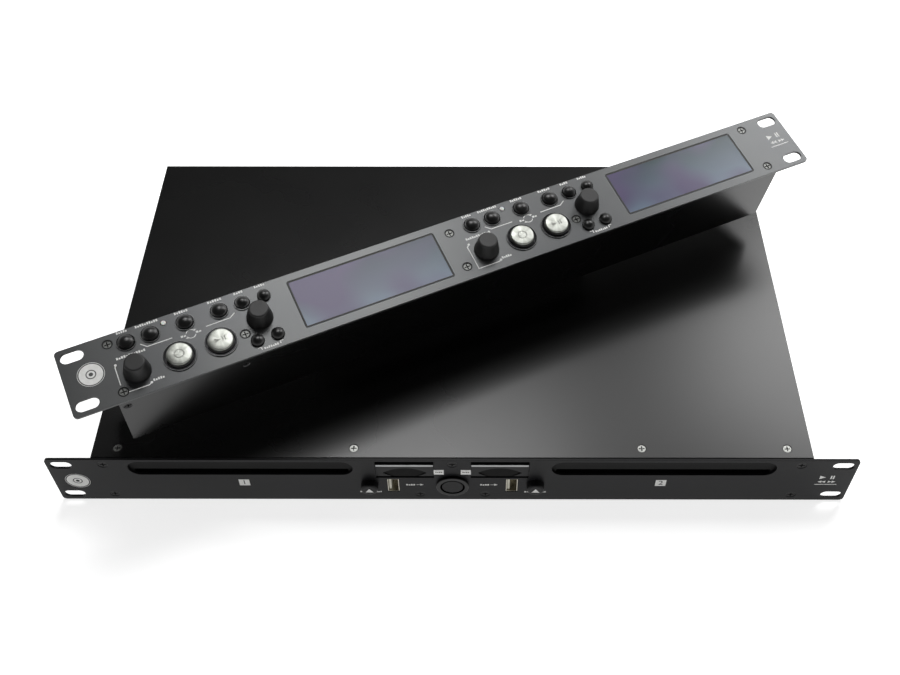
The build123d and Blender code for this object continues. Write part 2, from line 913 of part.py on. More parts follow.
def main_board():
    """The main board on its standoffs, and the upright board behind the front buttons."""
    top = main_board_z + board_thickness
    board = block(main_board_x0, main_board_x1, main_board_y0, main_board_y1, main_board_z, top)
    for x in (main_board_x0 + standoff_inset, main_board_x1 - standoff_inset):
        for y in (main_board_y0 + standoff_inset, main_board_y1 - standoff_inset):
            board += rod_z(x, y, standoff_radius, sheet + rest_gap, main_board_z)
    for x, y, width, depth, height in main_board_chips:
        board += block(x - width / 2, x + width / 2, y - depth / 2, y + depth / 2,
                       top, top + height)
    for x in can_places:
        board += rod_z(x, can_depth, can_radius, top, top + can_height)
    front = block(-front_board_half_width, front_board_half_width, front_board_depth,
                  front_board_depth + board_thickness, front_board_low, front_board_top)
    for _, side in sides:
        front += switch_block(side * eject_x, eject_z - front_switch_drop, front_board_depth)
        foot_x = side * (front_board_half_width - standoff_inset)
        front += block(foot_x - front_foot_half_width, foot_x + front_foot_half_width,
                       front_board_depth, front_board_depth + front_foot_depth,
                       sheet + rest_gap, front_foot_top)
    front += switch_block(0, power_z - front_switch_drop, front_board_depth)
    return group([board, front])


def switch_block(x, z, board_face):
    """A push switch on the face of a board."""
    half = switch_width / 2
    return block(x - half, x + half, board_face - switch_height, board_face, z - half, z + half)


def power_supply():
    """The mains supply: board, transformer, capacitors and heat sink."""
    top = main_board_z + board_thickness
    supply = block(supply_x0, supply_x1, supply_y0, supply_y1, main_board_z, top)
    for x in (supply_x0 + standoff_inset, supply_x1 - standoff_inset):
        for y in (supply_y0 + standoff_inset, supply_y1 - standoff_inset):
            supply += rod_z(x, y, standoff_radius, sheet + rest_gap, main_board_z)
    supply += block(transformer_x0, transformer_x1, transformer_y0, transformer_y1,
                    top, top + transformer_height)
    for x in supply_can_places:
        supply += rod_z(x, supply_can_depth, supply_can_radius, top, top + supply_can_height)
    for fin in range(fin_count):
        y = sink_y0 + fin * fin_pitch
        supply += block(sink_x0, sink_x1, y, y + fin_thickness, top, top + sink_height)
    spine_x = (sink_x0 + sink_x1) / 2
    spine_back = sink_y0 + (fin_count - 1) * fin_pitch + fin_thickness
    supply += block(spine_x - sink_spine / 2, spine_x + sink_spine / 2, sink_y0, spine_back,
                    top, top + sink_height)
    return supply


def link_socket_out(proud):
    """A link socket that faces +Y from a wall whose outer face is at y = 0."""
    corner = link_shell_corner
    socket = rounded_plate(0, 0, link_shell_width, link_shell_height, corner, -sheet - seam, proud)
    socket += block(-link_body_width / 2, link_body_width / 2, -sheet - seam - link_body_depth,
                    -sheet - seam, -link_body_height / 2, link_body_height / 2)
    for row, count in link_contact_rows:
        for index in range(count):
            x = (index - (count - 1) / 2) * link_contact_pitch
            socket -= rod_y(x, row * link_contact_pitch / 2, link_contact_radius,
                            proud - link_contact_depth, proud + 1)
    socket += rounded_plate(0, 0, link_plate_width, link_plate_height, link_plate_corner,
                            0, link_plate_thickness)
    nut_top = link_plate_thickness + link_nut_height
    for side in (-1, 1):
        socket += rod_y(side * link_nut_x, 0, link_nut_radius, link_plate_thickness, nut_top)
        socket += rod_y(side * link_nut_x, 0, screw_radius, -sheet - seam - link_screw_length,
                        link_plate_thickness)
        socket -= rod_y(side * link_nut_x, 0, link_nut_bore, 0, nut_top + 1)
    return socket


def phono_socket():
    """A round signal socket through the rear wall."""
    half = phono_body / 2
    socket = block(-half, half, rear_wall - seam - phono_body_depth, rear_wall - seam, -half, half)
    socket += rod_y(0, 0, phono_radius, rear_wall - seam, case_depth + phono_proud)
    socket -= rod_y(0, 0, phono_bore, case_depth, case_depth + phono_proud + 1)
    return socket


def rear_sockets():
    """The signal sockets and the two sockets for the leads to the control unit."""
    sockets = [Pos(x, 0, phono_z) * phono_socket() for x in phono_places]
    sockets += [Pos(x, case_depth, link_z) * link_socket_out(link_proud) for x in link_places]
    return group(sockets)


def power_inlet():
    """The three-blade mains inlet, with its cavity open to the rear."""
    rim_face = case_depth + inlet_rim_thickness
    half_width = inlet_body_width / 2
    half_height = inlet_body_height / 2
    inlet = block(-half_width, half_width, rim_face - inlet_body_depth - inlet_rim_thickness,
                  rim_face, -half_height, half_height)
    inlet += rounded_plate(0, 0, inlet_body_width + 2 * inlet_rim, inlet_body_height + 2 * inlet_rim,
                           inlet_rim_corner, case_depth, rim_face)
    inlet -= block(-inlet_cavity_width / 2, inlet_cavity_width / 2, rim_face - inlet_cavity_depth,
                   rim_face + 1, -inlet_cavity_height / 2, inlet_cavity_height / 2)
    for x, z in ((-blade_pitch, -blade_offset), (0, blade_offset), (blade_pitch, -blade_offset)):
        root = rim_face - inlet_cavity_depth
        inlet += block(x - blade_width / 2, x + blade_width / 2, root - 1, root + blade_length,
                       z - blade_height / 2, z + blade_height / 2)
    return Pos(inlet_x, 0, inlet_z) * inlet


# Control unit: case

def controller_front_panel():
    """The control unit's panel, with windows and holes for every control."""
    panel = front_panel_blank()
    through = panel_thickness + 1
    for _, shift in decks:
        panel -= rounded_plate(display_x + shift, display_z, display_width, display_height,
                               display_corner, -1, through)
        for x, z, cap, _, ring in small_buttons():
            hole = ring_outer(cap) + bearing_gap if ring else cap + button_guide_gap
            panel -= rod_y(x + shift, z, hole, -1, through)
        for x in (cue_x, play_x):
            panel -= rod_y(x + shift, lower_row_z, big_ring_outer() + bearing_gap, -1, through)
        panel -= rod_y(led_x + shift, led_z, led_radius + led_hole_gap, -1, through)
        for x, z in ((track_knob_x, lower_row_z), (pitch_knob_x, pitch_knob_z)):
            panel -= rod_y(x + shift, z, bush_radius + bush_hole_gap, -1, through)
    for x, z in controller_screw_places:
        panel -= Pos(x, 0, z) * countersink(panel_thickness)
    return panel


def controller_chassis():
    """The control unit's folded tray, with corner flanges and a strip up its middle."""
    half = controller_chassis_half
    low = -controller_case_half_height
    high = controller_cover_low - seam
    tray = block(-half, half, case_front, controller_depth, low, low + sheet)
    tray += block(-half, half, controller_rear, controller_depth, low, high)
    tray += block(mullion_x - mullion_half_width, mullion_x + mullion_half_width, case_front,
                  case_front + sheet, low, high)
    for _, side in sides:
        tray += block(side * (half - sheet), side * half, case_front, controller_depth, low, high)
        flange_in = side * (half - controller_corner_flange + sheet)
        inner_end = corner_screw_z - controller_flange_margin
        for z0, z1 in ((low, -inner_end), (inner_end, high)):
            tray += block(flange_in, side * half, case_front, case_front + sheet, z0, z1)
    for x, z in controller_case_screw_places:
        tray -= Pos(x, 0, z) * thread(0, screw_length + 1)
    for frame in controller_side_screw_frames() + controller_under_screw_frames():
        tray -= frame * countersink(sheet)
        tray -= frame * thread(0, screw_length + 1)
    tray -= block(-wire_window_width / 2, wire_window_width / 2, controller_rear - 1,
                  controller_depth + 1, -wire_window_height / 2, wire_window_height / 2)
    return tray


def controller_top_cover():
    """The control unit's folded lid."""
    high = controller_case_half_height
    lid = block(-controller_half, controller_half, case_front, controller_depth,
                controller_cover_low, high)
    for _, side in sides:
        lid += block(side * (controller_half - sheet), side * controller_half, case_front,
                     controller_depth, high - controller_skirt, high)
    for frame in controller_side_screw_frames():
        lid -= frame * countersink(sheet)
    return lid


def controller_screws():
    """The screws of the control unit."""
    screws = [Pos(x, 0, z) * screw(panel_thickness) for x, z in controller_screw_places]
    frames = controller_side_screw_frames() + controller_under_screw_frames()
    screws += [frame * screw(sheet) for frame in frames]
    return group(screws)


def link_socket_housing():
    """The box on the control unit's back, with the two sockets for the leads to the player."""
    half = housing_width / 2
    front = controller_depth + rest_gap
    back = controller_depth + housing_depth
    box = block(-half, half, front, back, housing_low, housing_top)
    box -= block(-half + sheet, half - sheet, front - 1, back - sheet,
                 housing_low + sheet, housing_top - sheet)
    z = housing_socket_low + link_shell_height / 2
    pieces = []
    for _, side in sides:
        x = side * housing_socket_x
        box -= block(x - link_shell_width / 2 - fit_gap, x + link_shell_width / 2 + fit_gap,
                     back - sheet - 1, back + 1, z - link_shell_height / 2 - fit_gap,
                     z + link_shell_height / 2 + fit_gap)
        for nut in (-1, 1):
            box -= rod_y(x + nut * link_nut_x, z, screw_radius + screw_gap,
                         back - sheet - 1, back + 1)
        pieces.append(Pos(x, back, z) * link_socket_out(housing_socket_proud))
    return group([box] + pieces)


# Control unit: controls, drawn about the control's own axis

def ring_outer(cap_radius):
    """Outer radius of the trim ring of a small button."""
    return cap_radius + ring_gap + ring_wall


def big_ring_inner():
    """Inner radius of the trim ring of a cue or play button."""
    return big_cap_radius + big_cap_step + big_ring_gap


def big_ring_outer():
    """Outer radius of that ring."""
    return big_ring_inner() + big_ring_wall


def small_buttons():
    """One deck's small buttons: x, z, cap radius, name, and whether it has a trim ring."""
    return (
        (back_x, top_row_z, small_cap_radius, "back_button", True),
        (source_x, top_row_z, small_cap_radius, "source_button", True),
        (single_x, top_row_z, small_cap_radius, "single_button", True),
        (repeat_x, top_row_z, small_cap_radius, "repeat_button", True),
        (time_x, top_row_z, time_cap_radius, "time_button", True),
        (pitch_button_x, top_row_z, plain_cap_radius, "pitch_button", False),
        (search_back_x, search_z, plain_cap_radius, "search_back_button", False),
        (search_forward_x, search_z, plain_cap_radius, "search_forward_button", False),
    )


def trim_ring(inner, outer):
    """A ring that stands a little out of the panel, with a flange behind it."""
    flange_back = panel_thickness + ring_flange_thickness
    ring = tube_y(0, 0, outer, inner, -ring_proud, flange_back)
    flange = tube_y(0, 0, outer + ring_flange_lip, inner, panel_thickness, flange_back)
    return ring + flange


def button_bezels():
    """The trim rings of both decks."""
    rings = []
    for _, shift in decks:
        for x, z, cap, _, ring in small_buttons():
            if ring:
                rings.append(Pos(x + shift, 0, z) * trim_ring(cap + ring_gap, ring_outer(cap)))
        for x in (cue_x, play_x):
            ring_place = Pos(x + shift, 0, lower_row_z)
            rings.append(ring_place * trim_ring(big_ring_inner(), big_ring_outer()))
    return group(rings)


def dome_arc(radius, shoulder_y, top_y):
    """Half section of a spherical cap from its rim to the axis, bulging towards -Y."""
    rise = shoulder_y - top_y
    sphere = (radius ** 2 + rise ** 2) / (2 * rise)
    half_angle = math.asin(radius / sphere) / 2
    middle = (sphere * math.sin(half_angle), top_y + sphere * (1 - math.cos(half_angle)))
    return ThreePointArc((radius, shoulder_y), middle, (0, top_y))


def button_foot(flange_radius, travel):
    """The flange that keeps a button in, and the stem to its switch."""
    front = panel_thickness + ring_flange_thickness + retainer_gap
    back = front + retainer_thickness
    foot = rod_y(0, 0, flange_radius, front, back)
    return foot + rod_y(0, 0, stem_radius, back, control_switch_face - travel - switch_gap)


def ringed_button(cap_radius):
    """A domed button with a collar, in a trim ring."""
    front = panel_thickness + ring_flange_thickness + retainer_gap
    dome_radius = cap_radius - dome_setback
    shoulder = -collar_proud - dome_shoulder
    sides_line = Polyline(
        (0, front), (cap_radius, front), (cap_radius, -collar_proud),
        (dome_radius, -collar_proud), (dome_radius, shoulder),
    )
    dome = dome_arc(dome_radius, shoulder, -small_cap_proud)
    outline = sides_line + dome + Line((0, -small_cap_proud), (0, front))
    return turned(outline) + button_foot(cap_radius + ring_gap + retainer_lip, small_travel)


def plain_button(cap_radius):
    """A domed button that comes straight through the panel."""
    front = panel_thickness + ring_flange_thickness + retainer_gap
    sides_line = Polyline((0, front), (cap_radius, front), (cap_radius, -plain_shoulder))
    dome = dome_arc(cap_radius, -plain_shoulder, -plain_cap_proud)
    outline = sides_line + dome + Line((0, -plain_cap_proud), (0, front))
    return turned(outline) + button_foot(cap_radius + button_guide_gap + retainer_lip, small_travel)


def big_button():
    """A cue or play button: black body with a metal cap let into it."""
    front = panel_thickness + ring_flange_thickness + retainer_gap
    body = rod_y(0, 0, big_cap_radius + big_cap_step, -big_body_proud, front)
    body += button_foot(big_ring_inner() + retainer_lip, big_travel)
    cap = rod_y(0, 0, big_cap_radius, -big_cap_proud, -big_body_proud)
    cap = fillet(cap.edges().filter_by(GeomType.CIRCLE).sort_by(Axis.Y)[0], big_cap_edge)
    return group([body, cap])


def knob_outline(base_gap, bore_radius, bore_end):
    """Half section of a knob: tapered side, rounded top edge, and a bore from below."""
    top = -base_gap - knob_height
    rim = knob_top_radius - knob_edge
    side = Polyline(
        (0, bore_end), (bore_radius, bore_end), (bore_radius, -base_gap),
        (knob_skirt_radius, -base_gap), (knob_top_radius, top + knob_edge),
    )
    bend = knob_edge * math.sqrt(0.5)
    edge = ThreePointArc((knob_top_radius, top + knob_edge),
                         (rim + bend, top + knob_edge - bend), (rim, top))
    return side + edge + Polyline((rim, top), (0, top), (0, bore_end))


def pitch_knob():
    """The pitch knob, moulded on its shaft."""
    bore_end = -knob_base_gap - knob_bore_depth
    knob = turned(knob_outline(knob_base_gap, shaft_radius, bore_end))
    return knob + rod_y(0, 0, shaft_radius, bore_end - knob_shaft_overlap, shaft_inner_end)


def track_knob():
    """The track knob, with a bore that takes the encoder's shaft."""
    bore_end = -shaft_top - shaft_end_gap
    return turned(knob_outline(track_base_gap, shaft_radius + bearing_gap, bore_end))


def track_shaft():
    """The encoder's shaft, which can be pushed in."""
    return rod_y(0, 0, shaft_radius, -shaft_top, shaft_inner_end)


def encoder(x, z, travel):
    """An encoder's case and the bush that carries its shaft."""
    case = block(x - encoder_half, x + encoder_half, encoder_front, control_board_depth,
                 z - encoder_half, z + encoder_half)
    bush = rod_y(x, z, bush_radius, bush_front, encoder_front)
    bore_end = shaft_inner_end + travel + encoder_end_gap
    return case + bush - rod_y(x, z, shaft_radius + bearing_gap, bush_front - 1, bore_end)


def status_leds():
    """The two status lamps."""
    lamps = []
    for _, shift in decks:
        x = led_x + shift
        lamp = rod_y(x, led_z, led_radius, -led_proud, led_length)
        lamp = fillet(lamp.edges().filter_by(GeomType.CIRCLE).sort_by(Axis.Y)[0], led_edge)
        lamps.append(lamp)
    return group(lamps)


def display_windows():
    """The two clear windows, set into the panel."""
    return group(
        rounded_plate(display_x + shift, display_z, display_width - 2 * display_gap,
                      display_height - 2 * display_gap, display_corner - display_gap / 2,
                      display_recess, panel_thickness)
        for _, shift in decks
    )


def display_modules():
    """The two display modules behind the windows, on posts from the board."""
    modules = []
    front = case_front
    for _, shift in decks:
        x = display_x + shift
        module = block(x - module_width / 2, x + module_width / 2, front, front + module_depth,
                       display_z - module_height / 2, display_z + module_height / 2)
        for dx in (-module_width / 3, module_width / 3):
            for dz in (-module_height / 4, module_height / 4):
                module += rod_y(x + dx, display_z + dz, module_post_radius, front + module_depth,
                                control_board_depth - rest_gap)
        modules.append(module)
    return group(modules)


def control_board():
    """The board behind the controls, with its switches, encoders and screw posts."""
    board = block(-control_board_half_width, control_board_half_width, control_board_depth,
                  control_board_depth + board_thickness, -control_board_half_height,
                  control_board_half_height)
    for _, shift in decks:
        for x, z, _, _, _ in small_buttons():
            board += switch_block(x + shift, z, control_board_depth)
        for x in (cue_x, play_x):
            board += switch_block(x + shift, lower_row_z, control_board_depth)
        board += encoder(track_knob_x + shift, lower_row_z, push_travel)
        board += encoder(pitch_knob_x + shift, pitch_knob_z, 0)
        board += rod_y(board_screw_x + shift, board_screw_z, board_screw_post,
                       case_front, control_board_depth)
        board -= Pos(board_screw_x + shift, 0, board_screw_z) * thread(0, control_board_depth - 1)
    back = control_board_depth + board_thickness
    for x, width, depth in control_board_chips:
        board += block(x - width / 2, x + width / 2, back, back + depth,
                       -control_chip_half_height, control_chip_half_height)
    return board


# Everything, node by node

def save_player():
    """Write the player's nodes."""
    save("player_front_panel", player_front_panel(), PLAYER_PLACE)
    save("player_chassis", player_chassis(), PLAYER_PLACE)
    save("player_top_cover", player_top_cover(), PLAYER_PLACE)
    save("player_screws", player_screws(), PLAYER_PLACE)
    save("front_bezels", front_bezels(), PLAYER_PLACE)
    save("power_button", power_button(), PLAYER_PLACE)
    save("usb_sockets", usb_sockets(), PLAYER_PLACE)
    save("card_readers", card_readers(), PLAYER_PLACE)
    save("main_board", main_board(), PLAYER_PLACE)
    save("power_supply", power_supply(), PLAYER_PLACE)
    save("rear_sockets", rear_sockets(), PLAYER_PLACE)
    save("power_inlet", power_inlet(), PLAYER_PLACE)
    for number, side in sides:
        save(f"eject_button_{number}", eject_button(),
             PLAYER_PLACE * Pos(side * eject_x, 0, eject_z))
        save(f"card_door_{number}", card_door(), PLAYER_PLACE * Pos(side * card_x, 0, 0))
        drive_place = PLAYER_PLACE * Pos(side * slot_x, 0, 0)
        save(f"disc_drive_frame_{number}", disc_drive_frame(), drive_place)
        save(f"feed_roller_{number}", feed_roller(), drive_place)
        save(f"disc_spindle_{number}", disc_spindle(), drive_place)
        save(f"laser_sled_{number}", laser_sled(), drive_place)


def save_controller():
    """Write the control unit's nodes."""
    save("controller_front_panel", controller_front_panel(), CONTROLLER_PLACE)
    save("controller_chassis", controller_chassis(), CONTROLLER_PLACE)
    save("controller_top_cover", controller_top_cover(), CONTROLLER_PLACE)
    save("controller_screws", controller_screws(), CONTROLLER_PLACE)
    save("link_socket_housing", link_socket_housing(), CONTROLLER_PLACE)
    save("display_windows", display_windows(), CONTROLLER_PLACE)
    save("display_modules", display_modules(), CONTROLLER_PLACE)
    save("button_bezels", button_bezels(), CONTROLLER_PLACE)
    save("status_leds", status_leds(), CONTROLLER_PLACE)
    save("control_board", control_board(), CONTROLLER_PLACE)
    for deck, shift in decks:
        for x, z, cap, name, ring in small_buttons():
            button = ringed_button(cap) if ring else plain_button(cap)
            save(f"{name}_{deck}", button, CONTROLLER_PLACE * Pos(x + shift, 0, z))
        for name, x in (("cue_button", cue_x), ("play_button", play_x)):
            save(f"{name}_{deck}", big_button(),
                 CONTROLLER_PLACE * Pos(x + shift, 0, lower_row_z))
        track_place = CONTROLLER_PLACE * Pos(track_knob_x + shift, 0, lower_row_z)
        save(f"track_knob_{deck}", track_knob(), track_place)
        save(f"track_shaft_{deck}", track_shaft(), track_place)
        save(f"pitch_knob_{deck}", pitch_knob(),
             CONTROLLER_PLACE * Pos(pitch_knob_x + shift, 0, pitch_knob_z))


os.makedirs("parts", exist_ok=True)
save_player()
save_controller()
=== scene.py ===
"""The looks of a dual disc player and the control unit that leans on it, round the fixed frame.

Blender works in metres. Every place below is in millimetres in the frame of one front panel:
x along the panel, y into the unit from the panel's face, z up the panel.
"""
import json
import math

import bmesh
import bpy
from mathutils import Matrix, Vector


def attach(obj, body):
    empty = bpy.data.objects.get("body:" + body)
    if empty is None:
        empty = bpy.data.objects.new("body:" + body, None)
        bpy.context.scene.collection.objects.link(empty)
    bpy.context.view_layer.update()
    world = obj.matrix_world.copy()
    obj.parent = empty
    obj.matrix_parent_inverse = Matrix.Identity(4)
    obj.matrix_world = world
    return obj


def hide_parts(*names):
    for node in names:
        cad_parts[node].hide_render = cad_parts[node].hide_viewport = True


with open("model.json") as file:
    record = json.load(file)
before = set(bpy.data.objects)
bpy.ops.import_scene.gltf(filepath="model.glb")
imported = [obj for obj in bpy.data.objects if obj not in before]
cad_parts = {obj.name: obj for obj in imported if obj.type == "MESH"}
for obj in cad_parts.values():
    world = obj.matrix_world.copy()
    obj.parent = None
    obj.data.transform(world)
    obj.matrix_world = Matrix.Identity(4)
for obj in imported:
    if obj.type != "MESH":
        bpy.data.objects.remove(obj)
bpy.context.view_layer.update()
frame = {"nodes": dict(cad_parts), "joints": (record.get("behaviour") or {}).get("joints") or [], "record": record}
nodes = frame["nodes"]

MM = 0.001
DECKS = (1, 2)
SIDES = ((1, -1), (2, 1))

# Where the two front panels are, from the frame's own mounts and joints
mounts = {mount["name"]: mount for mount in frame["record"]["mounts"]}
turns = {joint["name"]: Vector(joint["pos_m"]) for joint in frame["joints"] if "pos_m" in joint}


def panel_frame(origin, along, outward):
    """The matrix from a panel's millimetres to the scene's metres."""
    across = along.normalized()
    inward = -outward.normalized()
    upward = across.cross(inward)
    turn = Matrix((across, inward, upward)).transposed().to_4x4()
    return Matrix.Translation(origin) @ turn @ Matrix.Scale(MM, 4)


player_face = Vector((0, mounts["rack_slots"]["pos_m"][1], 0))
PLAYER = panel_frame(player_face, Vector((1, 0, 0)), Vector((0, -1, 0)))
deck_step = turns["pitch_knob_2_turn"] - turns["pitch_knob_1_turn"]
deck_pitch = deck_step.length / MM
control_mount = mounts["control_unit_rack_slots"]
CONTROL = panel_frame(Vector(control_mount["pos_m"]), deck_step, Vector(control_mount["axis"]))
PANEL_UP = CONTROL.col[2].to_3d().normalized()

# The colour sockets of a Mix node, which shares their names with its other kinds of socket
MIX_FACTOR, MIX_A, MIX_B, MIX_COLOUR = 0, 6, 7, 2


# Nodes of a material

def linear(hex_colour):
    """A colour written in sRGB hex, as the linear values that a socket takes."""
    channels = [int(hex_colour[i:i + 2], 16) / 255 for i in (1, 3, 5)]
    bright = [c / 12.92 if c <= 0.04045 else ((c + 0.055) / 1.055) ** 2.4 for c in channels]
    return (*bright, 1)


def per_mm(size):
    """The scale of a pattern whose features are this many millimetres across."""
    return 1 / (size * MM)


def add_node(material, kind, values=None, links=None, **settings):
    """Adds a node with its settings, its sockets' constants, and links from (node, output)."""
    node = material.node_tree.nodes.new(kind)
    for name, value in settings.items():
        setattr(node, name, value)
    for socket, value in (values or {}).items():
        node.inputs[socket].default_value = value
    for socket, (source, output) in (links or {}).items():
        material.node_tree.links.new(source.outputs[output], node.inputs[socket])
    return node


def new_material(name, links, values):
    """A material with one Principled shader."""
    material = bpy.data.materials.new(name)
    material.use_nodes = True
    material.node_tree.nodes.clear()
    build = links(material)
    shader = add_node(material, "ShaderNodeBsdfPrincipled", values, build)
    add_node(material, "ShaderNodeOutputMaterial", links={"Surface": (shader, "BSDF")})
    return material


def grained(name, dark, light, patch, grain, depth, rough, edge=0.0, **values):
    """A moulded or sprayed skin: two shades in patches, a fine grain that stands up, all in mm."""
    def links(material):
        place = add_node(material, "ShaderNodeTexCoord")
        clouds = add_node(material, "ShaderNodeTexNoise", {"Scale": per_mm(patch), "Detail": 3.0},
                          {"Vector": (place, "Object")})
        shades = add_node(material, "ShaderNodeValToRGB", links={"Fac": (clouds, "Fac")})
        shades.color_ramp.elements[0].position = 0.35
        shades.color_ramp.elements[0].color = linear(dark)
        shades.color_ramp.elements[1].position = 0.65
        shades.color_ramp.elements[1].color = linear(light)
        gloss = add_node(material, "ShaderNodeMapRange", {"To Min": rough[0], "To Max": rough[1]},
                         {"Value": (clouds, "Fac")})
        pores = add_node(material, "ShaderNodeTexNoise", {"Scale": per_mm(grain), "Detail": 2.0},
                         {"Vector": (place, "Object")})
        relief = add_node(material, "ShaderNodeBump", {"Strength": 1.0, "Distance": depth * MM},
                          {"Height": (pores, "Fac")})
        if edge:
            round_edge = add_node(material, "ShaderNodeBevel", {"Radius": edge * MM}, samples=4)
            material.node_tree.links.new(round_edge.outputs["Normal"], relief.inputs["Normal"])
        return {"Base Color": (shades, "Color"), "Roughness": (gloss, "Result"),
                "Normal": (relief, "Normal")}
    return new_material(name, links, values)


def brushed(name, dark, light, line, run, depth, rough, **values):
    """A metal with fine lines along x: each line this wide, and this long, in mm."""
    def links(material):
        place = add_node(material, "ShaderNodeTexCoord")
        stretch = add_node(material, "ShaderNodeMapping",
                           {"Scale": (per_mm(run), per_mm(line), per_mm(line))},
                           {"Vector": (place, "Object")})
        lines = add_node(material, "ShaderNodeTexNoise", {"Scale": 1.0, "Detail": 3.0},
                         {"Vector": (stretch, "Vector")})
        shades = add_node(material, "ShaderNodeValToRGB", links={"Fac": (lines, "Fac")})
        shades.color_ramp.elements[0].position = 0.3
        shades.color_ramp.elements[0].color = linear(dark)
        shades.color_ramp.elements[1].position = 0.7
        shades.color_ramp.elements[1].color = linear(light)
        gloss = add_node(material, "ShaderNodeMapRange", {"To Min": rough[0], "To Max": rough[1]},
                         {"Value": (lines, "Fac")})
        relief = add_node(material, "ShaderNodeBump", {"Strength": 1.0, "Distance": depth * MM},
                          {"Height": (lines, "Fac")})
        return {"Base Color": (shades, "Color"), "Roughness": (gloss, "Result"),
                "Normal": (relief, "Normal")}
    return new_material(name, links, {"Metallic": 1.0, **values})


def spun(name, dark, light, ring, depth, rough, **values):
    """A cap turned on a lathe about its own z: fine rings, and soft wedges of painted highlight and shade round
    it.
    """
    def links(material):
        place = add_node(material, "ShaderNodeTexCoord")
        flat = add_node(material, "ShaderNodeMapping", {"Scale": (1.0, 1.0, 0.0)},
                        {"Vector": (place, "Object")})
        reach = add_node(material, "ShaderNodeVectorMath", links={0: (flat, "Vector")},
                         operation="LENGTH")
        aim = add_node(material, "ShaderNodeVectorMath", links={0: (flat, "Vector")},
                       operation="NORMALIZE")
        rings = add_node(material, "ShaderNodeTexNoise", {"Scale": per_mm(ring), "Detail": 2.0},
                         {"W": (reach, "Value")}, noise_dimensions="1D")
        highlight_wedges = add_node(material, "ShaderNodeTexNoise", {"Scale": 1.6, "Detail": 1.0},
                          {"Vector": (aim, "Vector")})
        shades = add_node(material, "ShaderNodeValToRGB", links={"Fac": (highlight_wedges, "Fac")})
        shades.color_ramp.elements[0].position = 0.38
        shades.color_ramp.elements[0].color = linear(dark)
        shades.color_ramp.elements[1].position = 0.62
        shades.color_ramp.elements[1].color = linear(light)
        gloss = add_node(material, "ShaderNodeMapRange", {"To Min": rough[0], "To Max": rough[1]},
                         {"Value": (rings, "Fac")})
        relief = add_node(material, "ShaderNodeBump", {"Strength": 1.0, "Distance": depth * MM},
                          {"Height": (rings, "Fac")})
        return {"Base Color": (shades, "Color"), "Roughness": (gloss, "Result"),
                "Normal": (relief, "Normal")}
    return new_material(name, links, {"Metallic": 1.0, **values})


def faded_acrylic(name, top, bottom, warm, height, middle, patch, rough, **values):
    """A window whose colour runs from top to bottom up a panel, with warmer clouds in it, in mm: a painted
    reflection.
    """
    def links(material):
        place = add_node(material, "ShaderNodeTexCoord")
        climb = add_node(material, "ShaderNodeVectorMath", {1: tuple(PANEL_UP)},
                         {0: (place, "Object")}, operation="DOT_PRODUCT")
        half = height / 2 * MM
        rise = add_node(material, "ShaderNodeMapRange",
                        {"From Min": middle - half, "From Max": middle + half},
                        {"Value": (climb, "Value")})
        tint_and_sheen = add_node(material, "ShaderNodeValToRGB", links={"Fac": (rise, "Result")})
        tint_and_sheen.color_ramp.elements[0].color = linear(bottom)
        tint_and_sheen.color_ramp.elements[1].color = linear(top)
        clouds = add_node(material, "ShaderNodeTexNoise", {"Scale": per_mm(patch), "Detail": 1.0},
                          {"Vector": (place, "Object")})
        weight = add_node(material, "ShaderNodeMapRange", {"From Min": 0.42, "From Max": 0.62},
                          {"Value": (clouds, "Fac")})
        blend = add_node(material, "ShaderNodeMix", {MIX_B: linear(warm)},
                         {MIX_FACTOR: (weight, "Result"), MIX_A: (tint_and_sheen, "Color")},
                         data_type="RGBA")
        gloss = add_node(material, "ShaderNodeMapRange", {"To Min": rough[0], "To Max": rough[1]},
                         {"Value": (clouds, "Fac")})
        return {"Base Color": (blend, MIX_COLOUR), "Roughness": (gloss, "Result")}
    return new_material(name, links, values)


# Satin black powder coat on the player's steel panel: dark grey where the floor shows in it
panel_paint = grained("satin_black_powder_coat", "#131314", "#18181a", 40, 0.5, 0.008, (0.34, 0.42),
                      edge=0.3, **{"Specular IOR Level": 0.12})
# Satin-grey lacquer with metal flake on the control unit's panel: it lifts to mid grey under a lamp
control_paint = grained("satin_grey_metallic_lacquer", "#4e4f50", "#555656", 60, 0.5, 0.006,
                        (0.34, 0.40), edge=0.3, Metallic=0.75)
# Fine black paint on the folded cover: nearly black, with a soft sheen under the lamps
cover_paint = grained("fine_black_enamel_on_steel", "#060606", "#0a0a0a", 90, 0.7, 0.004,
                      (0.25, 0.30), edge=0.3, IOR=1.5)
# Zinc-plated sheet of the folded trays, with the faint direction of the mill
zinc_sheet = brushed("zinc_plated_sheet_steel", "#8f9294", "#a9acad", 0.5, 14, 0.002, (0.34, 0.46))
# Zinc-plated screw heads on the cover, a little duller than the sheet
zinc_screw = brushed("zinc_plated_screw_steel", "#7c7d7b", "#9a9b97", 0.3, 2, 0.004, (0.3, 0.42))
# Dark nickel on the control unit's screws: mid grey, so that the black crosses show
dark_nickel = brushed("dark_nickel_screw_steel", "#5c5d5b", "#737472", 0.3, 2, 0.004, (0.34, 0.46))
# Black oxide on the panel's dark screws: deep, with an oily gloss
# the same black in the other screws' crosses and round the countersinks is painted shade
black_oxide_and_painted_shade = grained("black_oxide_and_painted_screw_shade", "#050505", "#0b0b0b", 2, 0.3, 0.01, (0.4, 0.55),
                      **{"Specular IOR Level": 0.25})
# Moulded ABS of bezels and sockets: matt black, with a spark-eroded grain
black_abs = grained("moulded_black_abs", "#0e0e0e", "#151515", 20, 0.4, 0.012, (0.42, 0.55))
# Polished ABS of the small buttons: deep black with a soft highlight on the dome
button_abs = grained("polished_black_abs", "#101010", "#151515", 8, 0.4, 0.003, (0.28, 0.36))
# The power button's ring: the same ABS from a mirror-bright mould
gloss_abs = grained("mirror_black_abs", "#060606", "#0a0a0a", 8, 0.4, 0.001, (0.1, 0.16),
                    **{"Specular IOR Level": 0.25})
